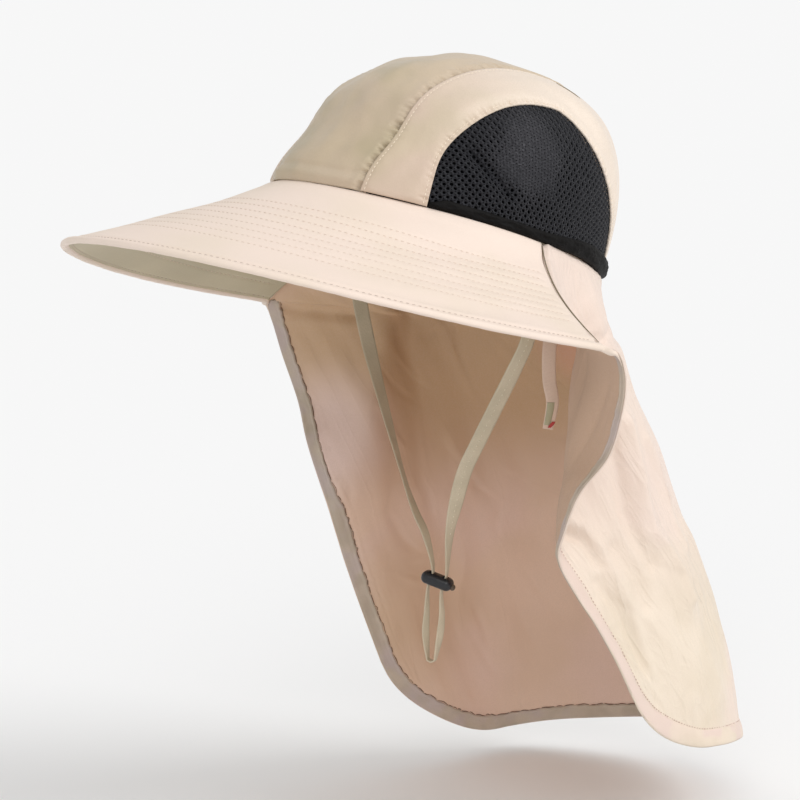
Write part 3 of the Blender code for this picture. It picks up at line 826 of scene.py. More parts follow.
def tinted(tree, place, low, high, scale, a, b):
    """Colour that drifts between two tints over a few centimetres."""
    return mixed(tree, spread(tree, noise(tree, place, scale, 2.0), low, high), a, b)


def long_creases(tree, across, down):
    """Thin uneven creases that run mostly down a cloth."""
    made = tree.nodes.new("ShaderNodeTexNoise")
    for name, value in (("Scale", 1.0), ("Detail", 2.0), ("Roughness", 0.45), ("Distortion", 0.9)):
        made.inputs[name].default_value = value
    link(tree, vector_node(tree, "MULTIPLY", weave_uv(tree), (across, down, 1.0)), made.inputs["Vector"])
    centred = math_node(tree, "ABSOLUTE", math_node(tree, "SUBTRACT", made.outputs["Fac"], 0.5))
    ridge = math_node(tree, "SUBTRACT", 1.0, times(tree, centred, 7.0))
    return math_node(tree, "POWER", math_node(tree, "MAXIMUM", ridge, 0.0), 2.0)


def satin_material(name, light, dark, warm, roughness, sheen=0.10, scale=26.0, rear=None, upper=None,
                   above=(-0.24, -0.13), creased=0.0, swell=0.0):
    """Smooth woven nylon with broad soft tints, a fine weave and a slight crumple; where rear is given, painted light
    makes it lighter towards the rear.
    """
    slot, tree, shader = empty_material(name, roughness, sheen)
    place = object_place(tree)
    base = tinted(tree, place, 0.40, 0.60, scale, dark, light)
    shifted = vector_node(tree, "ADD", place, (0.31, 0.17, 0.23))
    blush = spread(tree, noise(tree, shifted, scale * 0.7), 0.46, 0.66)
    tone = mixed(tree, times(tree, blush, 0.75), base, warm)
    parts = parts_of(tree, place)
    # Painted light: towards the rear of the hat the colour runs to the lighter rear tint.
    if rear:
        tone = mixed(tree, spread(tree, parts[1], -0.075, 0.050), tone, rear)
    if upper:
        high = spread(tree, math_node(tree, "ADD", parts[2], times(tree, blush, 0.05)), *above)
        tone = mixed(tree, times(tree, high, 0.8), tone, upper)
    specked(tree, shader, place, tone, dark, 1500.0, 0.20, 0.90)
    layers = [(noise(tree, place, 95.0, 3.0, 0.55), 0.00055, 0.55),
              (noise(tree, place, 480.0, 3.0, 0.6), 0.00006, 0.45)]
    if swell:
        layers.append((noise(tree, place, 30.0), swell, 0.6))
    if creased:
        layers.append((long_creases(tree, 46.0, 9.0), creased, 0.8))
        layers.append((long_creases(tree, 95.0, 34.0), creased * 0.45, 0.7))
    relief(tree, shader, *layers, (weave_height(tree, 0.00036), 0.00003, 0.5))
    return slot


def around(tree, place, centre, full, none, share):
    """Factor that is at its share near a point and falls to nothing away from it."""
    far = spread(tree, vector_node(tree, "DISTANCE", place, centre, "Value"), full, none)
    return times(tree, math_node(tree, "SUBTRACT", 1.0, far), share)


def lining_material(name, light, dark, rosy, near, spots):
    """Inner face of the flap, painted warmer than the outer face for the light that comes through the cloth: tinted in
    spots behind the head, the brown ones painted shade, and another tint at its front edges.
    """
    slot, tree, shader = empty_material(name, 0.62, 0.12)
    place = object_place(tree)
    base = tinted(tree, place, 0.38, 0.62, 15.0, dark, light)
    blush = spread(tree, noise(tree, vector_node(tree, "ADD", place, (0.11, 0.37, 0.05)), 13.0), 0.44, 0.62)
    tone = mixed(tree, times(tree, blush, 0.8), base, rosy)
    # The brown spots are painted shade; the others are plain tints.
    for colour, *spot in spots:
        tone = mixed(tree, around(tree, place, *spot), tone, colour)
    parts = parts_of(tree, place)
    side = spread(tree, math_node(tree, "SUBTRACT", parts[0], parts[1]), 0.035, 0.085)
    specked(tree, shader, place, mixed(tree, side, tone, near), dark, 1300.0, 0.22, 0.86)
    relief(tree, shader, (noise(tree, place, 80.0, 3.0, 0.55), 0.0005, 0.6),
           (long_creases(tree, 40.0, 8.0), 0.00014, 0.6), (weave_height(tree, 0.00036), 0.00003, 0.5))
    return slot


def knit_material(name):
    """Black knitted mesh, painted paler as a sheen in the smooth middle of the window, with painted glints there."""
    slot, tree, shader = empty_material(name, 0.58, 0.06)
    shader.inputs["Specular IOR Level"].default_value = 0.22
    place = object_place(tree)
    flat = vector_node(tree, "MULTIPLY", vector_node(tree, "ABSOLUTE", place), (1.0, 1.0, 0.62))
    far = vector_node(tree, "DISTANCE", flat, (0.0765, 0.001, 0.0330), "Value")
    drift = times(tree, noise(tree, place, 60.0, 3.0), 0.026)
    # Painted sheen: near the window's smooth middle the colour runs to a paler tone.
    middle = math_node(tree, "SUBTRACT", 1.0, spread(tree, math_node(tree, "ADD", far, drift), 0.014, 0.044))
    grain = spread(tree, noise(tree, place, 1300.0), 0.35, 0.65)
    glint_grain = spread(tree, noise(tree, place, 700.0, 3.0, 0.7), 0.56, 0.70)
    dark = mixed(tree, grain, (0.0085, 0.0088, 0.0115), (0.0190, 0.0192, 0.0240))
    painted_sheen_tone = mixed(tree, grain, (0.0175, 0.0172, 0.0210), (0.0420, 0.0410, 0.0470))
    # Painted glints: pale specks over the sheen.
    painted_glints = times(tree, times(tree, glint_grain, middle), 0.55)
    tone = mixed(tree, painted_glints, mixed(tree, middle, dark, painted_sheen_tone), (0.115, 0.112, 0.125))
    link(tree, tone, shader.inputs["Base Color"])
    relief(tree, shader, (grain, 0.00010, 0.8))
    return slot


def plain_material(name, colour, other, roughness, scale=300.0, depth=0.00005, specular=0.5):
    """One dull stuff with a fine grain between two close colours."""
    slot, tree, shader = empty_material(name, roughness)
    shader.inputs["Specular IOR Level"].default_value = specular
    grain = spread(tree, noise(tree, object_place(tree), scale, 3.0), 0.3, 0.7)
    link(tree, mixed(tree, grain, colour, other), shader.inputs["Base Color"])
    relief(tree, shader, (grain, depth, 0.7))
    return slot


def tape_material(name, light, dark):
    """Flat woven tape with ribs across it."""
    slot, tree, shader = empty_material(name, 0.62, 0.15)
    parts = parts_of(tree, weave_uv(tree))
    ribs = thread_wave(tree, parts[1], 0.00075)
    both = math_node(tree, "ADD", ribs, times(tree, thread_wave(tree, parts[0], 0.00062), 0.5))
    place = object_place(tree)
    grain = spread(tree, noise(tree, place, 1500.0), 0.3, 0.7)
    middle = tuple((a + b) / 2 for a, b in zip(light, dark))
    base = tinted(tree, place, 0.35, 0.65, 60.0, middle, light)
    link(tree, mixed(tree, times(tree, grain, 0.35), base, dark), shader.inputs["Base Color"])
    relief(tree, shader, (grain, 0.00005, 0.5), (both, 0.00005, 0.6))
    return slot


# Camera, stage and light

def make_camera():
    data = bpy.data.cameras.new("camera")
    data.lens = CAMERA_LENS
    data.sensor_width = 36.0
    data.clip_start = 0.05
    data.clip_end = 600.0
    camera = bpy.data.objects.new("camera", data)
    bpy.context.scene.collection.objects.link(camera)
    turn = Matrix(CAMERA_AXES).transposed()
    camera.matrix_world = Matrix.Translation(CAMERA_PLACE) @ turn.to_4x4()
    bpy.context.scene.camera = camera


def make_stage():
    corners = [(x * FLOOR_REACH, y * FLOOR_REACH, CAD_BOX[0].z - FLOOR_BELOW)
               for x, y in ((-1, -1), (1, -1), (1, 1), (-1, 1))]
    mesh = bpy.data.meshes.new("floor")
    mesh.from_pydata(corners, [], [(0, 1, 2, 3)])
    floor = bpy.data.objects.new("floor", mesh)
    bpy.context.scene.collection.objects.link(floor)
    slot, _, shader = empty_material("floor_paper", 1.0)
    shader.inputs["Base Color"].default_value = (FLOOR_GREY, FLOOR_GREY, FLOOR_GREY, 1.0)
    shader.inputs["Specular IOR Level"].default_value = 0.0
    mesh.materials.append(slot)


def make_light():
    """White surroundings and two soft suns."""
    world = bpy.data.worlds.new("studio")
    world.use_nodes = True
    background = world.node_tree.nodes["Background"]
    background.inputs["Color"].default_value = (1.0, 1.0, 1.0, 1.0)
    background.inputs["Strength"].default_value = WORLD_STRENGTH
    bpy.context.scene.world = world
    for name, azimuth, elevation, strength, angle in SUNS:
        data = bpy.data.lights.new(name, "SUN")
        data.energy = strength
        data.angle = math.radians(angle)
        sun = bpy.data.objects.new(name, data)
        a = math.radians(azimuth)
        e = math.radians(elevation)
        towards = Vector((math.sin(a) * math.cos(e), -math.cos(a) * math.cos(e), math.sin(e)))
        sun.rotation_mode = "QUATERNION"
        sun.rotation_quaternion = towards.to_track_quat("Z", "Y")
        sun.location = towards * 3
        bpy.context.scene.collection.objects.link(sun)
    view = bpy.context.scene.view_settings
    view.view_transform = "Standard"
    view.look = "None"


# Strap, tail and toggle

def toggle_turn():
    return Matrix.Rotation(TOGGLE_YAW, 3, "Z") @ Matrix.Rotation(TOGGLE_LEAN, 3, "Y")


def through_toggle(side, above):
    offset = Vector((side * TOGGLE_HOLE_PITCH / 2, 0.0, above * (TOGGLE_HEIGHT / 2 + 0.0015)))
    place = Vector(TOGGLE_PLACE) + toggle_turn() @ offset
    return (*place, TOGGLE_TAPE_SHARE, math.degrees(TOGGLE_YAW))


def strap_route():
    bottom = Vector(LOOP_BOTTOM_PLACE)
    along = Matrix.Rotation(TOGGLE_YAW, 3, "Z") @ Vector((1, 0, 0))
    turn = []
    for a in np.radians((0, 45, 90, 135, 180)).tolist():
        place = bottom + along * math.cos(a) * LOOP_BOTTOM_RADIUS
        place.z -= math.sin(a) * LOOP_BOTTOM_RADIUS
        turn.append((*place, 0.58, math.degrees(TOGGLE_YAW)))
    route = list(LEFT_STRAND) + [through_toggle(1, 1), through_toggle(1, -1)] + list(LOOP_LEFT)
    route += turn + list(LOOP_RIGHT) + [through_toggle(-1, -1), through_toggle(-1, 1)]
    return route + list(RIGHT_STRAND)


def tape_sections(route, width, wall, steps, until=None, since=0.0):
    """Rings of a flat tape with rounded edges, and its centreline."""
    route = np.array(route)
    last = len(route) - 1
    place = np.linspace(since, last if until is None else until, steps)
    centre = spline(route[:, :3], place)
    before, after = (spline(route[:, :3], np.clip(place + shift, 0, last)) for shift in (-0.05, 0.05))
    along = unit(after - before)
    turn = np.radians(spline(route[:, 4], place))
    half = width * spline(route[:, 3], place) / 2
    across = np.stack([-np.sin(turn), np.cos(turn), np.zeros_like(turn)], -1)
    across = unit(across - along * (across * along).sum(-1, keepdims=True))
    face = np.cross(along, across)
    angle = np.arange(12) / 12 * 2 * math.pi
    a = np.sign(np.cos(angle)) * np.abs(np.cos(angle)) ** 0.45
    f = np.sign(np.sin(angle)) * np.abs(np.sin(angle)) ** 0.70
    bow = 0.10 * (1 - a * a) * wall
    rings = (centre[:, None] + across[:, None] * (half[:, None] * a)[..., None]
             + face[:, None] * (wall / 2 * f + bow)[None, :, None])
    return rings, centre


def make_strap(looks):
    """Chin strap with its stitching, the toggle and the toggle's nub."""
    route = strap_route()
    rings, centre = tape_sections(route, TAPE_WIDTH, TAPE_WALL, 380)
    tape = tube("chin_strap_tape", rings, looks["tape"])
    on_root(tape, "tape", "chin_strap")
    upper, line = tape_sections(route, TAPE_WIDTH, TAPE_WALL, 160, until=9.0, since=0.3)
    count = upper.shape[1]
    rows = [(upper[:, side], unit(upper[:, side] - line)) for side in (count // 4, 3 * count // 4)]
    middle_row = stitch_rows("stitches_strap", rows, looks["thread_strap"], 0.0036, 0.0014, 0.00024)
    on_root(middle_row, "tape")
    toggle = make_toggle(looks)
    nub_at = Vector(TOGGLE_PLACE) + toggle_turn() @ Vector((TOGGLE_LENGTH / 2 + 0.0003, 0, -0.0006))
    bpy.ops.mesh.primitive_uv_sphere_add(segments=20, ring_count=12, radius=NUB_RADIUS)
    nub = bpy.context.active_object
    nub.name = nub.data.name = "toggle_nub"
    nub.data.transform(toggle_turn().to_4x4() @ Matrix.Diagonal((1.0, 1.1, 1.15, 1.0)))
    nub.location = nub_at
    for face in nub.data.polygons:
        face.use_smooth = True
    nub.data.materials.append(looks["nub"])
    on_root(nub, "tape")


def make_toggle(looks):
    """Rounded stopper with two slots, which stands for the solid one."""
    work = bmesh.new()
    bmesh.ops.create_cube(work, size=1.0)
    bmesh.ops.transform(work, matrix=Matrix.Diagonal((TOGGLE_LENGTH, TOGGLE_DEPTH, TOGGLE_HEIGHT, 1.0)),
                        verts=work.verts)
    bmesh.ops.bevel(work, geom=list(work.edges) + list(work.verts), offset=TOGGLE_ROUNDING, segments=8, profile=0.5,
                    affect="EDGES", clamp_overlap=True)
    mesh = bpy.data.meshes.new("toggle_body")
    work.to_mesh(mesh)
    work.free()
    toggle = bpy.data.objects.new("toggle_body", mesh)
    bpy.context.scene.collection.objects.link(toggle)
    cutters = []
    for side in (-1, 1):
        bpy.ops.mesh.primitive_cube_add(size=1.0)
        cutter = bpy.context.active_object
        cutter.data.transform(Matrix.Translation((side * TOGGLE_HOLE_PITCH / 2, 0, 0)) @ Matrix.Diagonal(
            (TAPE_WALL + 0.0018, TAPE_WIDTH * TOGGLE_TAPE_SHARE + 0.0012, TOGGLE_HEIGHT * 2, 1.0)))
        cut = toggle.modifiers.new("slot", "BOOLEAN")
        cut.operation = "DIFFERENCE"
        cut.solver = "EXACT"
        cut.object = cutter
        cutters.append(cutter)
    bpy.context.view_layer.update()
    whole = toggle.evaluated_get(bpy.context.evaluated_depsgraph_get())
    final = bpy.data.meshes.new_from_object(whole)
    toggle.modifiers.clear()
    toggle.data = final
    final.name = "toggle_body"
    for cutter in cutters:
        bpy.data.objects.remove(cutter, do_unlink=True)
    final.transform(Matrix.Translation(TOGGLE_PLACE) @ toggle_turn().to_4x4())
    for face in final.polygons:
        face.use_smooth = True
    final.set_sharp_from_angle(angle=math.radians(50))
    final.materials.clear()
    final.materials.append(looks["plastic"])
    return on_root(toggle, "plastic", "toggle")


def make_tail(looks):
    """Short ribbon behind the near strand, with its folded end and the stitched mark on it."""
    rings, centre = tape_sections(TAIL_ROUTE, TAIL_WIDTH, TAPE_WALL, 120)
    tail = tube("rear_tail_ribbon", rings, looks["tail"])
    on_root(tail, "tape", "rear_tail")
    last = len(TAIL_ROUTE) - 1
    tilted = [tuple(row[:3]) + (row[3] * 0.62, row[4]) for row in TAIL_ROUTE]
    fold_rings, _ = tape_sections(tilted, TAIL_WIDTH, TAIL_END_WALL, 40, since=last - 1.02, until=last - 0.16)
    fold = tube("rear_tail_end", fold_rings + np.array([-0.0006, -0.0007, 0.0]), looks["olive"])
    on_root(fold, "tape")
    end = np.array(TAIL_ROUTE[-1][:3]) + TAIL_FACE * 0.0012
    start = end + TAIL_RIGHT * 0.0006 + np.array([0, 0, 0.0008])
    stop = end + TAIL_RIGHT * 0.0034 + np.array([0, 0, 0.0042])
    line = start + (stop - start) * np.linspace(0, 1, 12)[:, None]
    normals = np.broadcast_to(TAIL_FACE, line.shape)
    mark = seam_threads("tail_bartack", [(line + TAIL_RIGHT * shift, normals) for shift in (-0.0006, 0.0, 0.0006)],
                        looks["red_thread"], 0.00046)
    on_root(mark, "tape")


# Crown

def crown_grid(first, second, rows, columns):
    """Grid of crown points between two outlines."""
    share = np.linspace(0, 1, columns)
    t = np.linspace(0, 1, rows)[:, None, None]
    shape = (rows, columns, 3)
    return tip(crown_point(slerp(np.broadcast_to(first(share), shape), np.broadcast_to(second(share), shape), t)))


def edge_distance(p):
    """Distance of each grid point from the first and the last row, along its column."""
    gone = arc_lengths(p, 0)
    return gone, gone[-1:] - gone


def make_crown_centre(looks):
    """Strip over the middle, puckered along both seams and rolled at both ends."""
    def left_edge(share):
        return seam_direction(SEAM_FROM_MIDDLE + 0.0016, share)

    def right_edge(share):
        return mirror_x(left_edge(share))

    base = crown_grid(right_edge, left_edge, *CENTRE_GRID)
    n = grid_normals(base)
    from_right, from_left = edge_distance(base)
    from_front = arc_lengths(base, 1)
    from_back = from_front[:, -1:] - from_front
    lift = -0.0007 * bell(from_right, 0.0026) - 0.0007 * bell(from_left, 0.0026)
    for number, away in enumerate((from_right, from_left)):
        lift = lift + 0.00052 * bell(away - 0.0062, 0.0034)
        pucker = ripples(from_front, 11 + number, 0.0052, sharp=1.35)
        pucker = np.maximum(pucker, 0.6 * ripples(from_front, 31 + number, 0.0035, sharp=1.2)) ** 0.7
        reach = 0.0050 + 0.0040 * ripples(from_front, 21 + number, 0.019)
        lift = lift - CENTRE_PUCKER * pucker * smooth((0.0030 + reach - away) / reach) * smooth(away / 0.0012)
    for away in (from_front, from_back):
        lift = lift + 0.0012 * bell(away - 0.0046, 0.0030) - 0.0002 * bell(away, 0.0014)
        lift = lift - 0.0004 * bell(away - 0.0098, 0.0016)
    swell = waves(from_right, from_front, 5, 0.048, 1.4)
    fine_swell = waves(from_right, from_front, 6, 0.020, 1.8)
    lift = lift + (0.0017 * swell + 0.00042 * fine_swell) * smooth(np.minimum(from_right, from_left) / 0.02)
    face = base + n * lift[..., None]
    centre = shell("crown_centre_cloth", face, face - n * CROWN_WALL, looks["cloth"], looks["lining_side"])
    on_root(centre, "cloth", "crown_centre_panel")


def make_crown(looks, stitches):
    """Centre strip and both side panels, puckered along their seams and round the windows."""
    make_crown_centre(looks)

    def panel_edge(share):
        return seam_direction(SEAM_FROM_MIDDLE - 0.0008, share)

    def arch_edge(share):
        return window_outline(share, 0.0008)

    base = crown_grid(panel_edge, arch_edge, *SIDE_GRID)
    n = grid_normals(base)
    from_seam, from_arch = edge_distance(base)
    along = arc_lengths(base, 1)
    along_seam = np.broadcast_to(along[:1], along.shape)
    along_arch = np.broadcast_to(along[-1:], along.shape)
    near_end = np.minimum(along, along[:, -1:] - along)
    for side, suffix in SIDES:
        pucker = ripples(along_arch, 41 + side, 0.0030)
        reach = 0.0052 + 0.0034 * ripples(along_arch, 51 + side, 0.013)
        lift = 0.00075 - 0.0006 * bell(from_seam, 0.0009) - 0.0005 * bell(from_arch, 0.0009)
        lift = lift - 0.00032 * bell(from_seam - SEAM_STITCH_AWAY, 0.0007)
        lift = lift - 0.00028 * bell(from_arch - ARCH_STITCH_AWAY, 0.0007)
        lift = lift - ARCH_PUCKER * pucker * smooth((reach - from_arch) / reach) * smooth(from_arch / 0.0012)
        small = ripples(along_seam, 61 + side, 0.0058)
        lift = lift - SEAM_PUCKER * small * smooth((0.0060 - from_seam) / 0.0060) * smooth(from_seam / 0.0012)
        swell = 0.0011 * waves(from_seam, along, 71 + side, 0.042, 1.5)
        swell = swell + 0.0002 * waves(from_seam, along, 75 + side, 0.018, 1.6)
        lift = lift + swell * smooth(np.minimum(from_seam, from_arch) / 0.012)
        lift = lift * smooth(near_end / 0.004 + 0.35)
        face = base + n * lift[..., None]
        for gone in (SEAM_STITCH_AWAY, from_seam[-1:] - ARCH_STITCH_AWAY):
            stitches["crown"].append(tuple(on_side(x, side) for x in row_at(face, n, from_seam, gone)))
        inside = on_side(face - n * SIDE_WALL, side)
        face = on_side(face, side)
        panel = shell("crown_side_cloth_" + suffix, face, inside, looks["cloth_side"], looks["lining_side"],
                      flip=side == -1)
        on_root(panel, "cloth_side", "crown_side_" + suffix)
        make_short_seam(looks, face, side, suffix)


def make_short_seam(looks, face, side, suffix):
    spots = on_side(np.array(SHORT_SEAM), side)
    line = read_along(np.linspace(0, len(spots) - 1, 24), np.arange(len(spots)), spots)
    row, normals = on_surface(surface_tree(face), evened(line, 2), np.array([0.0, 0.0, 1.0]))
    row = row + normals * 0.00010
    on_root(seam_threads("short_seam_" + suffix, [(row, normals)], looks["dark_seam_and_crease_shade"], 0.00036), "cloth_side")


def blended_row(p, n, k, t):
    """Row of points and normals between rows k and k + 1 of a grid, column by column."""
    c = np.arange(p.shape[1])
    t = t[:, None]
    return p[k, c] * (1 - t) + p[k + 1, c] * t, unit(n[k, c] * (1 - t) + n[k + 1, c] * t)


def row_at(p, n, gone, distance):
    """Row of points and normals at a distance down each column of a grid."""
    target = np.broadcast_to(distance, gone[:1].shape)[0]
    k = np.clip((gone < target[None]).sum(0) - 1, 0, len(gone) - 2)
    c = np.arange(p.shape[1])
    t = np.clip((target - gone[k, c]) / np.maximum(gone[k + 1, c] - gone[k, c], 1e-9), 0, 1)
    return blended_row(p, n, k, t)


def row_between(p, n, share, target, skip):
    """Row of points and normals at a share of the way down a grid, without its last columns."""
    at = np.interp(np.broadcast_to(target, p.shape[1]), share, np.arange(len(share)))
    k = np.minimum(at.astype(int), len(share) - 2)
    row, normals = blended_row(p, n, k, at - k)
    return row[skip:-skip], normals[skip:-skip]


def surface_tree(p):
    rows, columns = p.shape[:2]
    return BVHTree.FromPolygons([tuple(q) for q in p.reshape(-1, 3)], grid_faces(rows, columns).tolist())


def on_surface(tree, line, towards):
    """Nearest points of a surface to a line's, with the surface's normals on the side given."""
    found = [tree.find_nearest(tuple(a)) for a in line]
    normals = np.array([hit[1] for hit in found])
    normals = normals * np.where((normals * towards).sum(-1, keepdims=True) < 0, -1.0, 1.0)
    return np.array([hit[0] for hit in found]), normals


# Windows

def window_frame():
    centre = side_direction(np.array(0.012), np.array(0.036))
    north = np.array([0.0, 0.0, 1.0])
    north = unit(north - centre * (north * centre).sum())
    east = np.cross(centre, north)
    return centre, east, north


def on_window(x, y, axes):
    """Direction at flat window coordinates in metres round the window's centre."""
    centre, east, north = axes
    far = np.hypot(x, y)
    safe = np.maximum(far, 1e-9)
    angle = (far / 0.090)[..., None]
    return centre * np.cos(angle) + (east * (x / safe)[..., None] + north * (y / safe)[..., None]) * np.sin(angle)


def outline_gap(d):
    """How far inside the window's arch a direction lies, in metres, negative outside."""
    p = crown_point(d)
    arch = crown_point(window_outline(np.linspace(0, 1, 240)))
    flat = p.reshape(-1, 3)
    parts = [np.sqrt(((flat[k:k + 4000, None] - arch[None]) ** 2).sum(-1)).min(1) for k in range(0, len(flat), 4000)]
    gap = np.concatenate(parts)
    y = flat[:, 1]
    front = y < WINDOW_TOP_Y
    lean = np.abs(y - WINDOW_TOP_Y) / np.where(front, WINDOW_TOP_Y - WINDOW_FRONT_Y, WINDOW_REAR_Y - WINDOW_TOP_Y)
    curve = np.where(front, WINDOW_FRONT_CURVE, WINDOW_REAR_CURVE)
    top = WINDOW_HEIGHT * np.maximum(1 - lean ** curve, 0) ** (1 / curve)
    return np.where((flat[:, 2] < top) & (lean < 1), gap, -gap).reshape(p.shape[:-1])


def window_sink(d, gap):
    """How deep the mesh lies under the crown's surface."""
    p = tip(crown_point(d))
    p[..., 0] = np.abs(p[..., 0])
    away = line_distance(p, np.array(WINDOW_CREASE) * MM)
    return 0.0010 - 0.0007 * smooth(gap / 0.016) + 0.0024 * bell(away, 0.0030) - 0.0007 * bell(away - 0.008, 0.004)


def line_distance(p, line):
    """Distance of points from a polyline."""
    flat = p.reshape(-1, 3)
    best = np.full(len(flat), 1e9)
    for a, b in zip(line[:-1], line[1:]):
        ab = b - a
        t = np.clip(((flat - a) @ ab) / (ab @ ab), 0, 1)
        best = np.minimum(best, np.linalg.norm(flat - a - t[:, None] * ab, axis=1))
    return best.reshape(p.shape[:-1])


def window_cells(axes):
    """Places of the mesh's cells in the flat window, with the hat's points at their middles."""
    i, j = np.meshgrid(np.arange(-26, 27), np.arange(-22, 23), indexing="ij")
    x = ((i + 0.5 * (j % 2)) * WINDOW_PITCH).ravel()
    y = (j * WINDOW_ROW_PITCH).ravel()
    middle = on_window(x, y, axes)
    point = crown_point(middle)
    keep = (outline_gap(middle) > -0.0042) & (point[:, 2] > 0.0015)
    return x[keep], y[keep], tip(point[keep])


def make_windows(looks):
    """Knitted mesh of six-sided cells with oval holes, nearly shut in the smooth middle."""
    axes = window_frame()
    x, y, middle = window_cells(axes)
    spot = np.array([0.0765, 0.001, 0.0455])
    far = np.linalg.norm((middle - spot) / np.array([1.0, 1.0, 1.12]), axis=1)
    far = far + 0.0030 * waves(middle[:, 1], middle[:, 2], 96, 0.022)
    shut = 1 - smooth((far - 0.0125) / 0.013)
    rng = np.random.default_rng(95)
    hole = WINDOW_HOLE * (1 - 0.80 * shut) * rng.uniform(0.86, 1.10, len(x))
    high = smooth((middle[:, 2] - 0.040) / 0.030)
    long = 1.12 + 0.45 * high
    slim = 1.0 - 0.42 * high
    corner = np.arange(WINDOW_CORNERS) / WINDOW_CORNERS * 2 * math.pi + math.pi / 6
    reach = WINDOW_PITCH / 2 / np.maximum(np.abs(np.cos(corner % (math.pi / 3) - math.pi / 6)), 0.5)
    squash = np.array([1.0, WINDOW_ROW_PITCH / (WINDOW_PITCH * math.sqrt(3) / 2)])
    hexagon = np.stack([np.cos(corner), np.sin(corner)], -1) * reach[:, None] * squash
    lean = math.radians(58)
    axis = np.array([math.cos(lean), math.sin(lean)])
    cross = np.array([-math.sin(lean), math.cos(lean)])
    start = corner - lean
    oval = (axis[None, None] * (np.cos(start)[None] * long[:, None])[..., None]
            + cross[None, None] * (np.sin(start)[None] * slim[:, None])[..., None]) * hole[:, None, None]
    rings = []
    for ring, deep in ((np.broadcast_to(hexagon, oval.shape), 0.0), (oval, 0.00026), (oval * 1.04, 0.00085)):
        d = on_window(x[:, None] + ring[..., 0], y[:, None] + ring[..., 1], axes)
        base = crown_point(d)
        rings.append(tip(base - unit(base) * (window_sink(d, outline_gap(d)) + deep)[..., None]))
    points = np.stack(rings, 1)
    index = np.arange(points.size // 3).reshape(points.shape[:3])
    after = np.roll(index, -1, axis=2)
    faces = np.concatenate([np.stack([index[:, k], after[:, k], after[:, k + 1], index[:, k + 1]], -1).reshape(-1, 4)
                            for k in range(2)])
    flat = points.reshape(-1, 3)
    for side, suffix in SIDES:
        item = build("window_mesh_" + suffix, on_side(flat, side), faces[:, ::-side], [(looks["mesh"], None)],
                     flat[:, 1:])
        edited(item, lambda work: bmesh.ops.remove_doubles(work, verts=work.verts, dist=0.00002))
        on_root(item, "mesh_black", "mesh_window_" + suffix)
    make_backing(looks)


def make_backing(looks):
    """Dark sheet behind each window, in place of the shade inside the crown."""
    def bottom(share):
        return side_direction(WINDOW_FRONT_Y + 0.004 + (WINDOW_REAR_Y - WINDOW_FRONT_Y - 0.008) * share, 0.0008)

    def arch(share):
        return window_outline(share * 0.94 + 0.03, -0.0015, 0.0010)

    grid = crown_grid(bottom, arch, 18, 40)[:, ::-1]
    n = grid_normals(grid)
    for side, suffix in SIDES:
        item = shell("window_backing_" + suffix, on_side(grid - n * 0.0038, side), on_side(grid - n * 0.0042, side),
                     looks["backing"], looks["backing"], flip=side == -1)
        on_root(item, "mesh_black")


def make_bands(looks):
    """Padded roll along the foot of each window, thicker to the rear."""
    rows, columns = BAND_GRID
    share = np.linspace(0, 1, columns)
    tall = 0.0060 + 0.0056 * smooth((share - 0.40) / 0.50)
    tall = tall * np.sqrt(np.maximum(1 - np.maximum((share - 0.960) / 0.041, 0) ** 2, 0.02))
    tall = tall * (0.45 + 0.55 * smooth(share / 0.06))
    y = WINDOW_FRONT_Y + 0.0012 + (WINDOW_REAR_Y - WINDOW_FRONT_Y - 0.0024) * share
    t = np.linspace(0, 1, rows)[:, None]
    low = 0.0002 - 0.0030 * smooth((share - 0.68) / 0.27)
    z = low[None] + tall[None] * t
    d = side_direction(np.broadcast_to(y[None], z.shape), z)
    p = crown_point(d)
    out = unit(np.stack([p[..., 0], p[..., 1] * 0.8, np.zeros_like(z)], -1))
    fat = np.sqrt(np.maximum(1 - (2 * t - 1) ** 2, 0))
    rear = smooth((share - 0.45) / 0.5)[None]
    ends = smooth(share / 0.02)[None] * smooth((1 - share) / 0.02)[None]
    puff = (0.0011 + 0.0030 * rear) * fat * ends - 0.0006
    along = np.broadcast_to(share[None] * 0.15, z.shape)
    wrinkle = 0.00050 * waves(along, z, 91, 0.010, 0.4) + 0.00025 * waves(along, z, 92, 0.004, 0.6)
    face = tip(p + out * (puff + wrinkle * fat)[..., None])[:, ::-1]
    back = tip(p - out * 0.0020)[:, ::-1]
    for side, suffix in SIDES:
        item = shell("window_band_" + suffix, on_side(face, side), on_side(back, side), looks["band"], looks["band"],
                     flip=side == -1)
        on_root(item, "band_black", "mesh_band_" + suffix)


# Brim

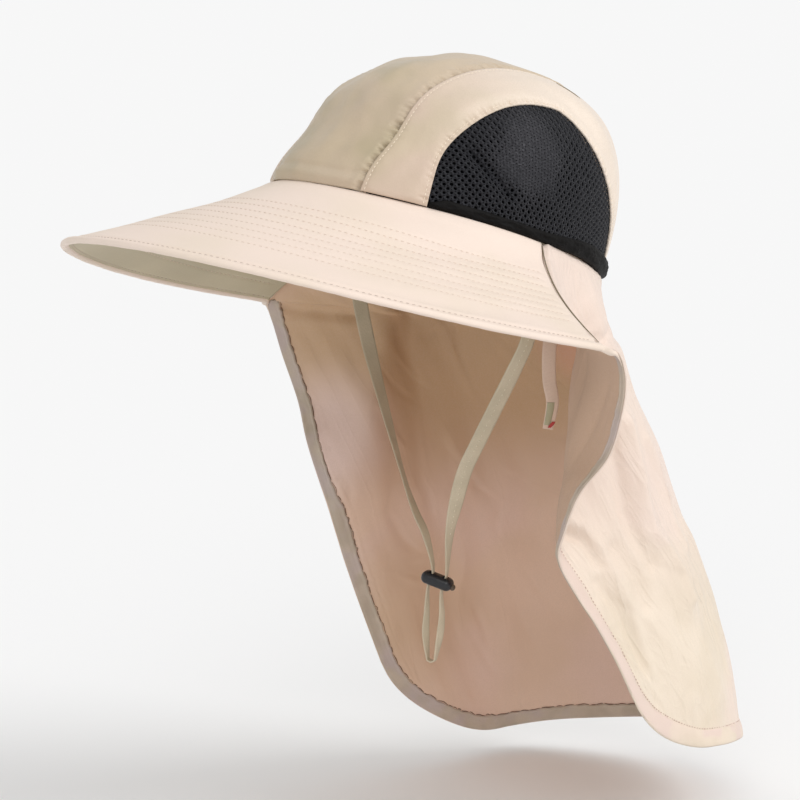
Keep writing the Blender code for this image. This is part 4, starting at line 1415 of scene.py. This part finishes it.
def make_brim(looks, stitches):
    """Stiff brim with sunk rows of stitching, a roll at its base and the binding's edge."""
    rows, columns = BRIM_GRID
    share = np.linspace(0, 1, rows)
    down = np.broadcast_to(share[:, None], (rows, columns))
    angle = np.linspace(-1, 1, columns)[None] * brim_end(share)[:, None]
    base = tip(brim_point(angle, down))
    n = grid_normals(base)
    width = brim_width(angle)
    along = arc_lengths(base, 1)
    to_end = np.minimum(along, along[:, -1:] - along)
    fade = smooth((to_end - 0.0035) / 0.003)
    from_base = down * width
    to_rim = (1 - down) * width - RIM_STITCH_AWAY
    lift = np.zeros_like(angle)
    low_lift = np.zeros_like(angle)
    for k, row in enumerate(BRIM_STITCH_SHARES):
        away = (down - row) * width
        lift = lift - 0.00030 * bell(away, 0.0010) * fade
        lift = lift + 0.00010 * ripples(along, 101 + k, 0.0066, 0.25) * bell(np.abs(away) - 0.0016, 0.0012) * fade
        low_lift = low_lift - 0.00026 * bell(away, 0.0010) * fade
    lift = lift - 0.00045 * bell(to_rim, 0.0010) + 0.00025 * bell(to_rim - 0.0026, 0.0018)
    lift = lift + 0.00055 * waves(along, from_base, 103, 0.085, 0.8) * smooth((1 - down) * 6)
    lift = lift - 0.0008 * bell(to_end, 0.0011) * smooth((1 - down) * 12)
    lift = lift - 0.0001 * bell(from_base, 0.0014) + 0.0003 * bell(from_base - 0.0045, 0.003)
    lift = lift * (1 - smooth((down - 0.985) / 0.015))
    low_lift = low_lift - 0.0004 * bell(to_rim, 0.0010)
    top = base + n * lift[..., None]
    under = base - n * (BRIM_WALL + low_lift)[..., None]
    brim = shell("brim_cloth", top, under, looks["cloth_brim"], looks["shaded_underside"])
    on_root(brim, "cloth", "brim")
    for p, normals, name in ((top, n, "brim_top"), (under, -n, "brim_under")):
        stitches[name] += [row_between(p, normals, share, row, 8) for row in BRIM_STITCH_SHARES]
        stitches["rim"].append(row_between(p, normals, share, 1 - RIM_STITCH_AWAY / width[-1], 3))
    make_rim(looks)
    make_rear_crease_shade(looks)


def make_rim(looks):
    """Soft roll of the binding round the rim, which runs on down the flap's two front edges."""
    count = 460
    end = BRIM_END - math.radians(0.4)
    angle = np.linspace(-end, end, count)
    rim = brim_point(angle, np.ones(count))
    inside = brim_point(angle, 1 - 0.0038 / brim_width(angle))
    out = unit(rim - inside)
    along = unit(brim_point(angle + 0.01, np.ones(count)) - brim_point(angle - 0.01, np.ones(count)))
    up = np.cross(out, along)
    up = tip(up * np.sign(up[:, 2:3]))
    out = tip(out)
    middle = tip(rim) - out * 0.0012 - up * (BRIM_WALL / 2)
    steps = 34
    place = np.linspace(2.35, 3.6, steps)
    edge = flap_point(place, 4.0)
    inner = flap_point(place, 3.93)
    below = flap_point(place + 0.04, 4.0)
    edge_out = unit(edge - inner)
    edge_up = unit(np.cross(below - edge, edge_out))
    edge_up = edge_up * np.sign((edge_up[:1] * up[-1:]).sum())
    taper = 1 - 0.88 * smooth(np.linspace(0, 1, steps) / 0.9)
    edge_middle = edge - edge_out * 0.0008 - edge_up * 0.0007
    path = np.concatenate([mirror_x(edge_middle)[::-1], middle, edge_middle])
    outs = np.concatenate([mirror_x(edge_out)[::-1], out, edge_out])
    ups = np.concatenate([mirror_x(edge_up)[::-1], up, edge_up])
    fat = np.concatenate([taper[::-1], np.ones(count), taper])
    path, outs, ups, fat, gone = even_path(path, outs, ups, fat, 620, 0.004)
    turn = np.arange(16) / 16 * 2 * math.pi
    swell = fat * (1 + 0.05 * waves(gone, gone * 0, 111, 0.030) + 0.03 * waves(gone, gone * 0, 112, 0.008))
    line = 1 - 0.13 * bell(np.sin(turn) - 0.25, 0.16) * (np.cos(turn) > 0)
    rings = (path[:, None] + outs[:, None] * ((RIM_ROLL[0] * swell)[:, None] * np.cos(turn) * line)[..., None]
             + ups[:, None] * ((RIM_ROLL[1] * swell)[:, None] * np.sin(turn) * line)[..., None])
    item = tube("brim_rim_roll", rings, looks["cloth_brim"])
    on_root(item, "cloth", "brim_binding")


def make_rear_crease_shade(looks):
    """Thin dark line of painted shade in the crease where the brim's two ends meet the flap."""
    share = np.linspace(0.012, 0.945, 90)
    angle = brim_end(share)
    point = brim_point(angle, share)
    behind = unit(brim_point(angle + 0.02, share) - point)
    outward = unit(np.cross(unit(np.gradient(point, axis=0)), behind))
    outward = outward * np.sign(outward[:, 2:3])
    line = tip(point + behind * SEAM_GAP * 0.7 - outward * 0.00010)
    ahead = unit(np.gradient(line, axis=0))
    side = unit(np.cross(ahead, tip(outward)))
    rings = thread_rings(line, side, np.cross(side, ahead), 0.00042, 0.15, 8)
    # Painted shade: a dark tube lying in the crease.
    for number, suffix in SIDES:
        item = tube("rear_seam_line_" + suffix, on_side(rings, number), looks["dark_seam_and_crease_shade"])
        on_root(item, "cloth")


def even_path(path, outs, ups, fat, count, reach):
    """Evenly stepped path with its side vectors, smoothed over a reach."""
    gone = travelled(path)
    at = np.linspace(0, gone[-1], count)
    wide = max(int(reach / (gone[-1] / count)), 1)
    path, outs, ups, fat = (evened(read_along(at, gone, values), wide) for values in (path, outs, ups, fat[:, None]))
    outs = unit(outs)
    return path, outs, unit(ups - outs * (ups * outs).sum(-1, keepdims=True)), fat[:, 0], at


# Neck flap

def flap_grid(rows, columns):
    across = np.linspace(4, -4, columns)
    hem = hem_places(across[::-1])[::-1]
    upper = np.linspace(0, 3, rows // 4, endpoint=False)
    place = np.concatenate([np.broadcast_to(upper[:, None], (len(upper), columns)),
                            3 + (hem - 3)[None] * np.linspace(0, 1, rows - len(upper))[:, None]])
    return flap_point(place, across[None]), place


def hem_width(points):
    """Distance of the hem's stitching from the free edge: more down the two front edges."""
    z = points[..., 2]
    return HEM_STITCH_AWAY + 0.0026 * smooth((z + 0.310) / 0.03) * smooth((-0.140 - z) / 0.03)


def make_flap(looks, stitches):
    """Draped flap with its folds, creases and puckers, and the hem round its free edge."""
    base, place = flap_grid(*FLAP_GRID)
    n = grid_normals(base)
    loop = free_edge(base, place)
    nearest, hem_gap = nearest_of(base, loop)
    seam = base[:, 0][place[:, 0] <= SEAM_ROWS + 0.05]
    seam_gap = np.minimum(nearest_of(base, seam)[1], nearest_of(base, mirror_x(seam))[1])
    top_gap = nearest_of(base, base[0])[1]
    u = arc_lengths(base, 1)
    v = arc_lengths(base, 0)
    lift = np.zeros(place.shape)
    for high, wide, points in FOLDS:
        away = line_distance(base, np.array(points) * MM)
        lift = lift + FOLD_DEPTH * high * MM * bell(away, wide * MM)
    inside = smooth((hem_gap - 0.004) / 0.02)
    lift = lift + creases(u, v) * smooth((hem_gap - 0.006) / 0.012) * smooth(v / 0.03)
    lift = lift + 0.0020 * waves(u, v, 121, 0.085, 2.8) * inside * smooth(v / 0.05)
    lift = lift + 0.0007 * waves(u, v, 122, 0.030, 2.4) * inside * smooth(v / 0.03)
    pucker = ripples(travelled(loop)[nearest], 131, 0.0062)
    low_hem = 0.5 + 0.5 * smooth((v - 0.16) / 0.08)
    stitched = hem_width(base)
    lift = lift - 0.00075 * low_hem * pucker * bell(hem_gap - stitched - 0.0022, 0.0050)
    lift = lift - 0.00040 * bell(hem_gap - stitched, 0.0009) + 0.0003 * bell(hem_gap - 0.0045, 0.003)
    rim_fade = smooth((nearest_of(base, seam[-2:])[1] - 0.002) / 0.010)
    puff = smooth((seam_gap - 0.0004) / 0.0022) * np.exp(-np.maximum(seam_gap - 0.0026, 0) / 0.0075)
    lift = lift + 0.0019 * puff * rim_fade - 0.0008 * bell(seam_gap, 0.0010)
    top_ripple = ripples(u, 141, 0.0085)
    lift = lift + 0.0007 * bell(top_gap - 0.0045, 0.003) - 0.0005 * bell(top_gap, 0.0015)
    lift = lift - 0.0004 * top_ripple * smooth((0.012 - top_gap) / 0.012) * smooth(top_gap / 0.002)
    face = base + n * lift[..., None]
    n2 = grid_normals(face)
    back = face - n2 * FLAP_WALL
    flap = shell("neck_flap_cloth", face, back, looks["cloth_flap"], looks["lining"])
    on_root(flap, "cloth", "neck_flap")
    hem = make_hem(looks, back, n2, place) + [make_hem_face(looks, face, n2, place)]
    stitches["flap"].append(hem_line(face, n2, place))


def creases(u, v):
    """Many slight crumples of the cloth, mostly down its length, each steeper on one side."""
    rng = np.random.default_rng(77)
    out = np.zeros_like(u)
    wide = float(u.max() - u.min())
    tall = float(v.max())
    for _ in range(120):
        a = np.array([rng.uniform(0, wide) + float(u.min()), rng.uniform(0.02, tall)])
        lean = rng.normal(0, 0.42) + (1.2 if rng.random() < 0.16 else 0.0)
        length = rng.uniform(0.018, 0.062)
        step = np.array([math.sin(lean), math.cos(lean)])
        along = (u - a[0]) * step[0] + (v - a[1]) * step[1]
        side = (u - a[0]) * step[1] - (v - a[1]) * step[0]
        side = side + 0.0016 * np.sin(along / length * 5 + rng.uniform(0, 6))
        narrow = rng.uniform(0.0014, 0.0028)
        wider = narrow * rng.uniform(1.8, 3.2)
        flip = 1 if rng.random() < 0.5 else -1
        spread_here = np.where(side * flip > 0, narrow, wider)
        high = rng.uniform(0.00035, 0.00105) * (1 if rng.random() < 0.65 else -0.8)
        out = out + high * bell(side, spread_here) * np.exp(-(along / (length * 0.5)) ** 4)
    return out


def nearest_of(p, line):
    """Which of a line's closely spaced points is nearest to each point of a grid, and how far it is."""
    tree = KDTree(len(line))
    for k, q in enumerate(line):
        tree.insert(q, k)
    tree.balance()
    found = [tree.find(q)[1:] for q in p.reshape(-1, 3)]
    return tuple(np.array(values).reshape(p.shape[:-1]) for values in zip(*found))


def free_edge(grid, place):
    """Values of a grid along the flap's free edge, from the left seam's end round the hem to the right one's."""
    left = place[:, 0] > SEAM_ROWS
    right = place[:, -1] > SEAM_ROWS
    return np.concatenate([grid[left, 0][:-1], grid[-1], grid[right, -1][::-1][1:]])


def hem_course(p, n, place, step, soften=(0, 0, 0)):
    """Even steps round the flap's free edge: points, normals, ways into the cloth and distances gone.

    Soften says over how many steps the normals, the edge and the ways in are evened.
    """
    points = free_edge(p, place)
    gone = travelled(points)
    at = np.linspace(0, gone[-1], int(gone[-1] / step) + 1)
    q = read_along(at, gone, points)
    m = unit(evened(unit(read_along(at, gone, free_edge(n, place))), soften[0]))
    along = unit(np.gradient(evened(q, soften[1]), axis=0))
    inward = unit(evened(unit(np.cross(m, along)), soften[2]))
    middle = p[len(p) // 2, p.shape[1] // 2]
    half = len(q) // 2
    if (inward[half] * (middle - q[half])).sum() < 0:
        inward = -inward
    return q, m, inward, at


def hem_line(face, n, place):
    """Row of stitching along the hem."""
    q, m, inward, _ = hem_course(face, n, place, 0.002)
    row, _ = on_surface(surface_tree(face), q + inward * hem_width(q)[:, None], m)
    return evened(row, 4)[6:-6], m[6:-6]


def make_hem(looks, back, n, place):
    """Folded hem on the flap's inner side, with its puckered inner edge and dark thread pieces of painted shade in the
    groove along it.
    """
    q, m, inward, at = hem_course(back, n, place, 0.0018, (9, 5, 9))
    tree = surface_tree(back)
    steps = 13
    ragged = 0.0011 * (ripples(at, 151, 0.0066) - 0.3)
    wide = HEM_WIDTH * (1 - 0.36 * smooth((q[:, 0] - 0.04) / 0.02) * smooth((q[:, 2] + 0.245) / 0.03))
    grid = np.empty((steps, len(q), 3))
    normals = np.empty_like(grid)
    for k in range(steps):
        share = k / (steps - 1)
        line, _ = on_surface(tree, q + inward * (0.0003 + wide * share)[:, None], m)
        if k:
            line = evened(line, 2 + 2 * k // 3)
        grid[k], raw = on_surface(tree, line + inward * (ragged * share)[:, None], m)
        normals[k] = unit(evened(raw, 5))
    t = np.linspace(0, 1, steps)[:, None]
    reach = np.broadcast_to(at[None], (steps, len(q)))
    thick = 0.00020 + 0.00062 * np.sqrt(np.maximum(1 - (2 * t - 1) ** 6, 0)) * np.ones(len(q))[None]
    thick = thick + 0.00045 * bell(t - 0.90, 0.09) + 0.00025 * bell(t - 0.04, 0.07)
    thick = thick + 0.00022 * waves(reach, t * wide[None], 153, 0.016, 0.5) * np.sin(math.pi * t)
    thick = thick - 0.00045 * ripples(reach, 152, 0.0060) * bell(t - 0.78, 0.14)
    inner = grid - normals * thick[..., None]
    item = shell("neck_flap_hem", grid + normals * 0.0001, inner, looks["hem"], looks["hem"])
    fix_normals(item)
    edge = inner[-1] - normals[-1] * 0.00005 + inward * 0.00035
    # Painted shade: dark brown thread pieces along the groove at the hem's inner edge.
    groove_shade = seam_threads("hem_groove_shade_thread", groove_shade_rows(q, at, edge, inward, normals[-1]), looks["groove_shade_brown"])
    on_root(groove_shade, "cloth")
    on_root(item, "cloth")
    return [item, groove_shade]


def groove_shade_rows(q, at, edge, inward, normals):
    """Short uneven lengths of dark thread that paint the shade in the groove along the hem's inner edge, but not up the
    left front edge.
    """
    rng = np.random.default_rng(155)
    rows = []
    spot = 0.004
    steps = 7
    while spot < at[-1] - 0.008:
        length = rng.uniform(0.0030, 0.0095)
        here = q[np.searchsorted(at, spot)]
        if here[0] > 0.05 and here[2] > -0.215:
            spot += 0.002
            continue
        span = np.linspace(spot, spot + length, steps)
        away = -read_along(span, at, normals)
        bow = rng.uniform(-0.0003, 0.0006) * np.sin(np.linspace(0, math.pi, steps))
        row = read_along(span, at, edge) + read_along(span, at, inward) * bow[:, None]
        rows.append((row - away * rng.uniform(0.0, 0.00022), away))
        spot += length + rng.uniform(0.0002, 0.0016)
    return rows


def make_hem_face(looks, face, n, place):
    """Outer layer of the hem, a slight step above the flap's outer face."""
    q, m, inward, _ = hem_course(face, n, place, 0.0022, (7, 4, 4))
    tree = surface_tree(face)
    grid = []
    for share, lift in HEM_FACE_STEPS:
        line = q + inward * (0.0002 + (hem_width(q) - 0.0006) * share)[:, None]
        points, normals = on_surface(tree, evened(line, 3) if share else line, m)
        grid.append(points + unit(evened(normals, 4)) * lift)
    outer = np.array(grid)
    item = shell("neck_flap_hem_face", outer, outer - m[None] * 0.0004, looks["hem_face"], looks["hem_face"])
    fix_normals(item)
    return on_root(item, "cloth")


THREADS = (
    # Name, two close colours, roughness, scale and depth of the grain
    ("red_thread", (0.56, 0.07, 0.06), (0.42, 0.04, 0.04), 0.6, 2500.0, 0.0001),
    ("thread", (0.760, 0.625, 0.530), (0.680, 0.560, 0.460), 0.6, 2500.0, 0.00003),
    ("thread_strap", (0.800, 0.720, 0.580), (0.720, 0.640, 0.500), 0.6, 2500.0, 0.00003),
    ("thread_crown", (0.930, 0.820, 0.680), (0.800, 0.690, 0.550), 0.6, 2500.0, 0.00003),
    ("thread_dark", (0.620, 0.510, 0.440), (0.540, 0.440, 0.370), 0.6, 2500.0, 0.00003),
    # Dark brown of the painted shade in the hem's groove.
    ("groove_shade_brown", (0.250, 0.145, 0.100), (0.170, 0.095, 0.065), 0.75, 900.0, 0.0001),
    ("thread_flap", (0.600, 0.430, 0.370), (0.500, 0.350, 0.300), 0.7, 1500.0, 0.00005),
    # Dark colour of the short seams, also the painted shade in the rear creases.
    ("dark_seam_and_crease_shade", (0.240, 0.195, 0.125), (0.160, 0.130, 0.080), 0.8, 1500.0, 0.0001),
)
# Brown of the painted shade in the flap's hollow behind the head and under the brim.
PAINTED_SHADE_BROWN = (0.545, 0.350, 0.190)
LINING_SHADE_AND_TINT_SPOTS = (
    # Colour, centre, distances where it is full and gone, and its share
    # The brown spots are painted shade; the red and the pink ones are tints.
    (PAINTED_SHADE_BROWN, (-0.050, 0.085, -0.060), 0.055, 0.150, 0.95),
    (PAINTED_SHADE_BROWN, (-0.128, 0.010, -0.062), 0.010, 0.062, 0.75),
    (PAINTED_SHADE_BROWN, (-0.104, 0.060, -0.250), 0.020, 0.080, 0.50),
    ((0.720, 0.365, 0.240), (0.000, 0.104, -0.072), 0.004, 0.036, 0.75),
    ((0.790, 0.590, 0.530), (-0.106, 0.006, -0.130), 0.012, 0.052, 0.85),
)


def make_looks():
    looks = {name: plain_material(name, *values) for name, *values in THREADS}
    looks.update({
        # Both crown cloths carry painted light: their rear tints make them lighter towards the back of the hat.
        "cloth": satin_material("cloth_centre", (0.575, 0.462, 0.325), (0.480, 0.397, 0.262), (0.560, 0.440, 0.335),
                                0.36, rear=(0.640, 0.520, 0.385), swell=0.0060),
        "cloth_side": satin_material("cloth_side_panel", (0.640, 0.505, 0.380), (0.560, 0.455, 0.320),
                                     (0.630, 0.480, 0.385), 0.38, rear=(0.850, 0.730, 0.620), swell=0.0040),
        "cloth_brim": cloth_material("cloth_brim", (0.860, 0.715, 0.620), (0.825, 0.695, 0.580), 0.00012),
        "cloth_flap": satin_material("cloth_flap", (0.805, 0.690, 0.560), (0.750, 0.640, 0.505),
                                     (0.800, 0.655, 0.575), 0.50, scale=19.0, upper=(0.820, 0.670, 0.590),
                                     creased=0.00050),
        "hem_face": satin_material("cloth_hem_face", (0.800, 0.685, 0.545), (0.750, 0.640, 0.500),
                                   (0.790, 0.665, 0.550), 0.55, scale=60.0, upper=(0.740, 0.575, 0.515),
                                   above=(-0.305, -0.255)),
        # Painted shade: the brim's underside is its top cloth made darker and greener.
        "shaded_underside": cloth_material("cloth_underside", (0.545, 0.470, 0.320), (0.490, 0.422, 0.285)),
        # The inner face is the flap's cloth painted warmer, for the light that comes through it.
        "lining": lining_material("cloth_inner_face", (0.805, 0.582, 0.450), (0.750, 0.537, 0.405),
                                  (0.805, 0.582, 0.488), (0.535, 0.355, 0.245), LINING_SHADE_AND_TINT_SPOTS),
        "lining_side": cloth_material("crown_inner_face", (0.60, 0.49, 0.39), (0.56, 0.455, 0.36)),
        "hem": satin_material("cloth_hem", (0.560, 0.462, 0.370), (0.493, 0.405, 0.317), (0.537, 0.436, 0.418),
                              0.60, 0.08, 60.0),
        "mesh": knit_material("mesh_knit"),
        "backing": plain_material("dark_backing", (0.004, 0.004, 0.005), (0.002, 0.002, 0.003), 0.9, specular=0.05),
        "band": plain_material("black_band", (0.0046, 0.0036, 0.0031), (0.0022, 0.0018, 0.0017), 0.60, 1200.0,
                               0.00008, 0.12),
        "tape": tape_material("flat_tape", (0.625, 0.535, 0.395), (0.500, 0.430, 0.305)),
        "tail": tape_material("tail_tape", (0.760, 0.575, 0.465), (0.660, 0.490, 0.385)),
        "olive": tape_material("folded_end", (0.470, 0.430, 0.285), (0.390, 0.355, 0.230)),
        "plastic": plain_material("toggle_plastic", (0.013, 0.014, 0.018), (0.010, 0.010, 0.013), 0.34, 900.0, 0.00001),
        "nub": plain_material("toggle_nub_brown", (0.11, 0.075, 0.05), (0.08, 0.055, 0.035), 0.5, 900.0, 0.00003),
    })
    return looks


def main():
    make_camera()
    looks = make_looks()
    make_strap(looks)
    make_tail(looks)
    make_stage()
    make_light()
    stitches = {name: [] for name in STITCHES}
    make_crown(looks, stitches)
    make_windows(looks)
    make_bands(looks)
    make_brim(looks, stitches)
    make_flap(looks, stitches)
    for name, (pitch, thread) in STITCHES.items():
        item = stitch_rows("stitches_" + name, stitches[name], looks[thread], pitch, pitch * STITCH_SHARE)
        on_root(item, "cloth")


main()
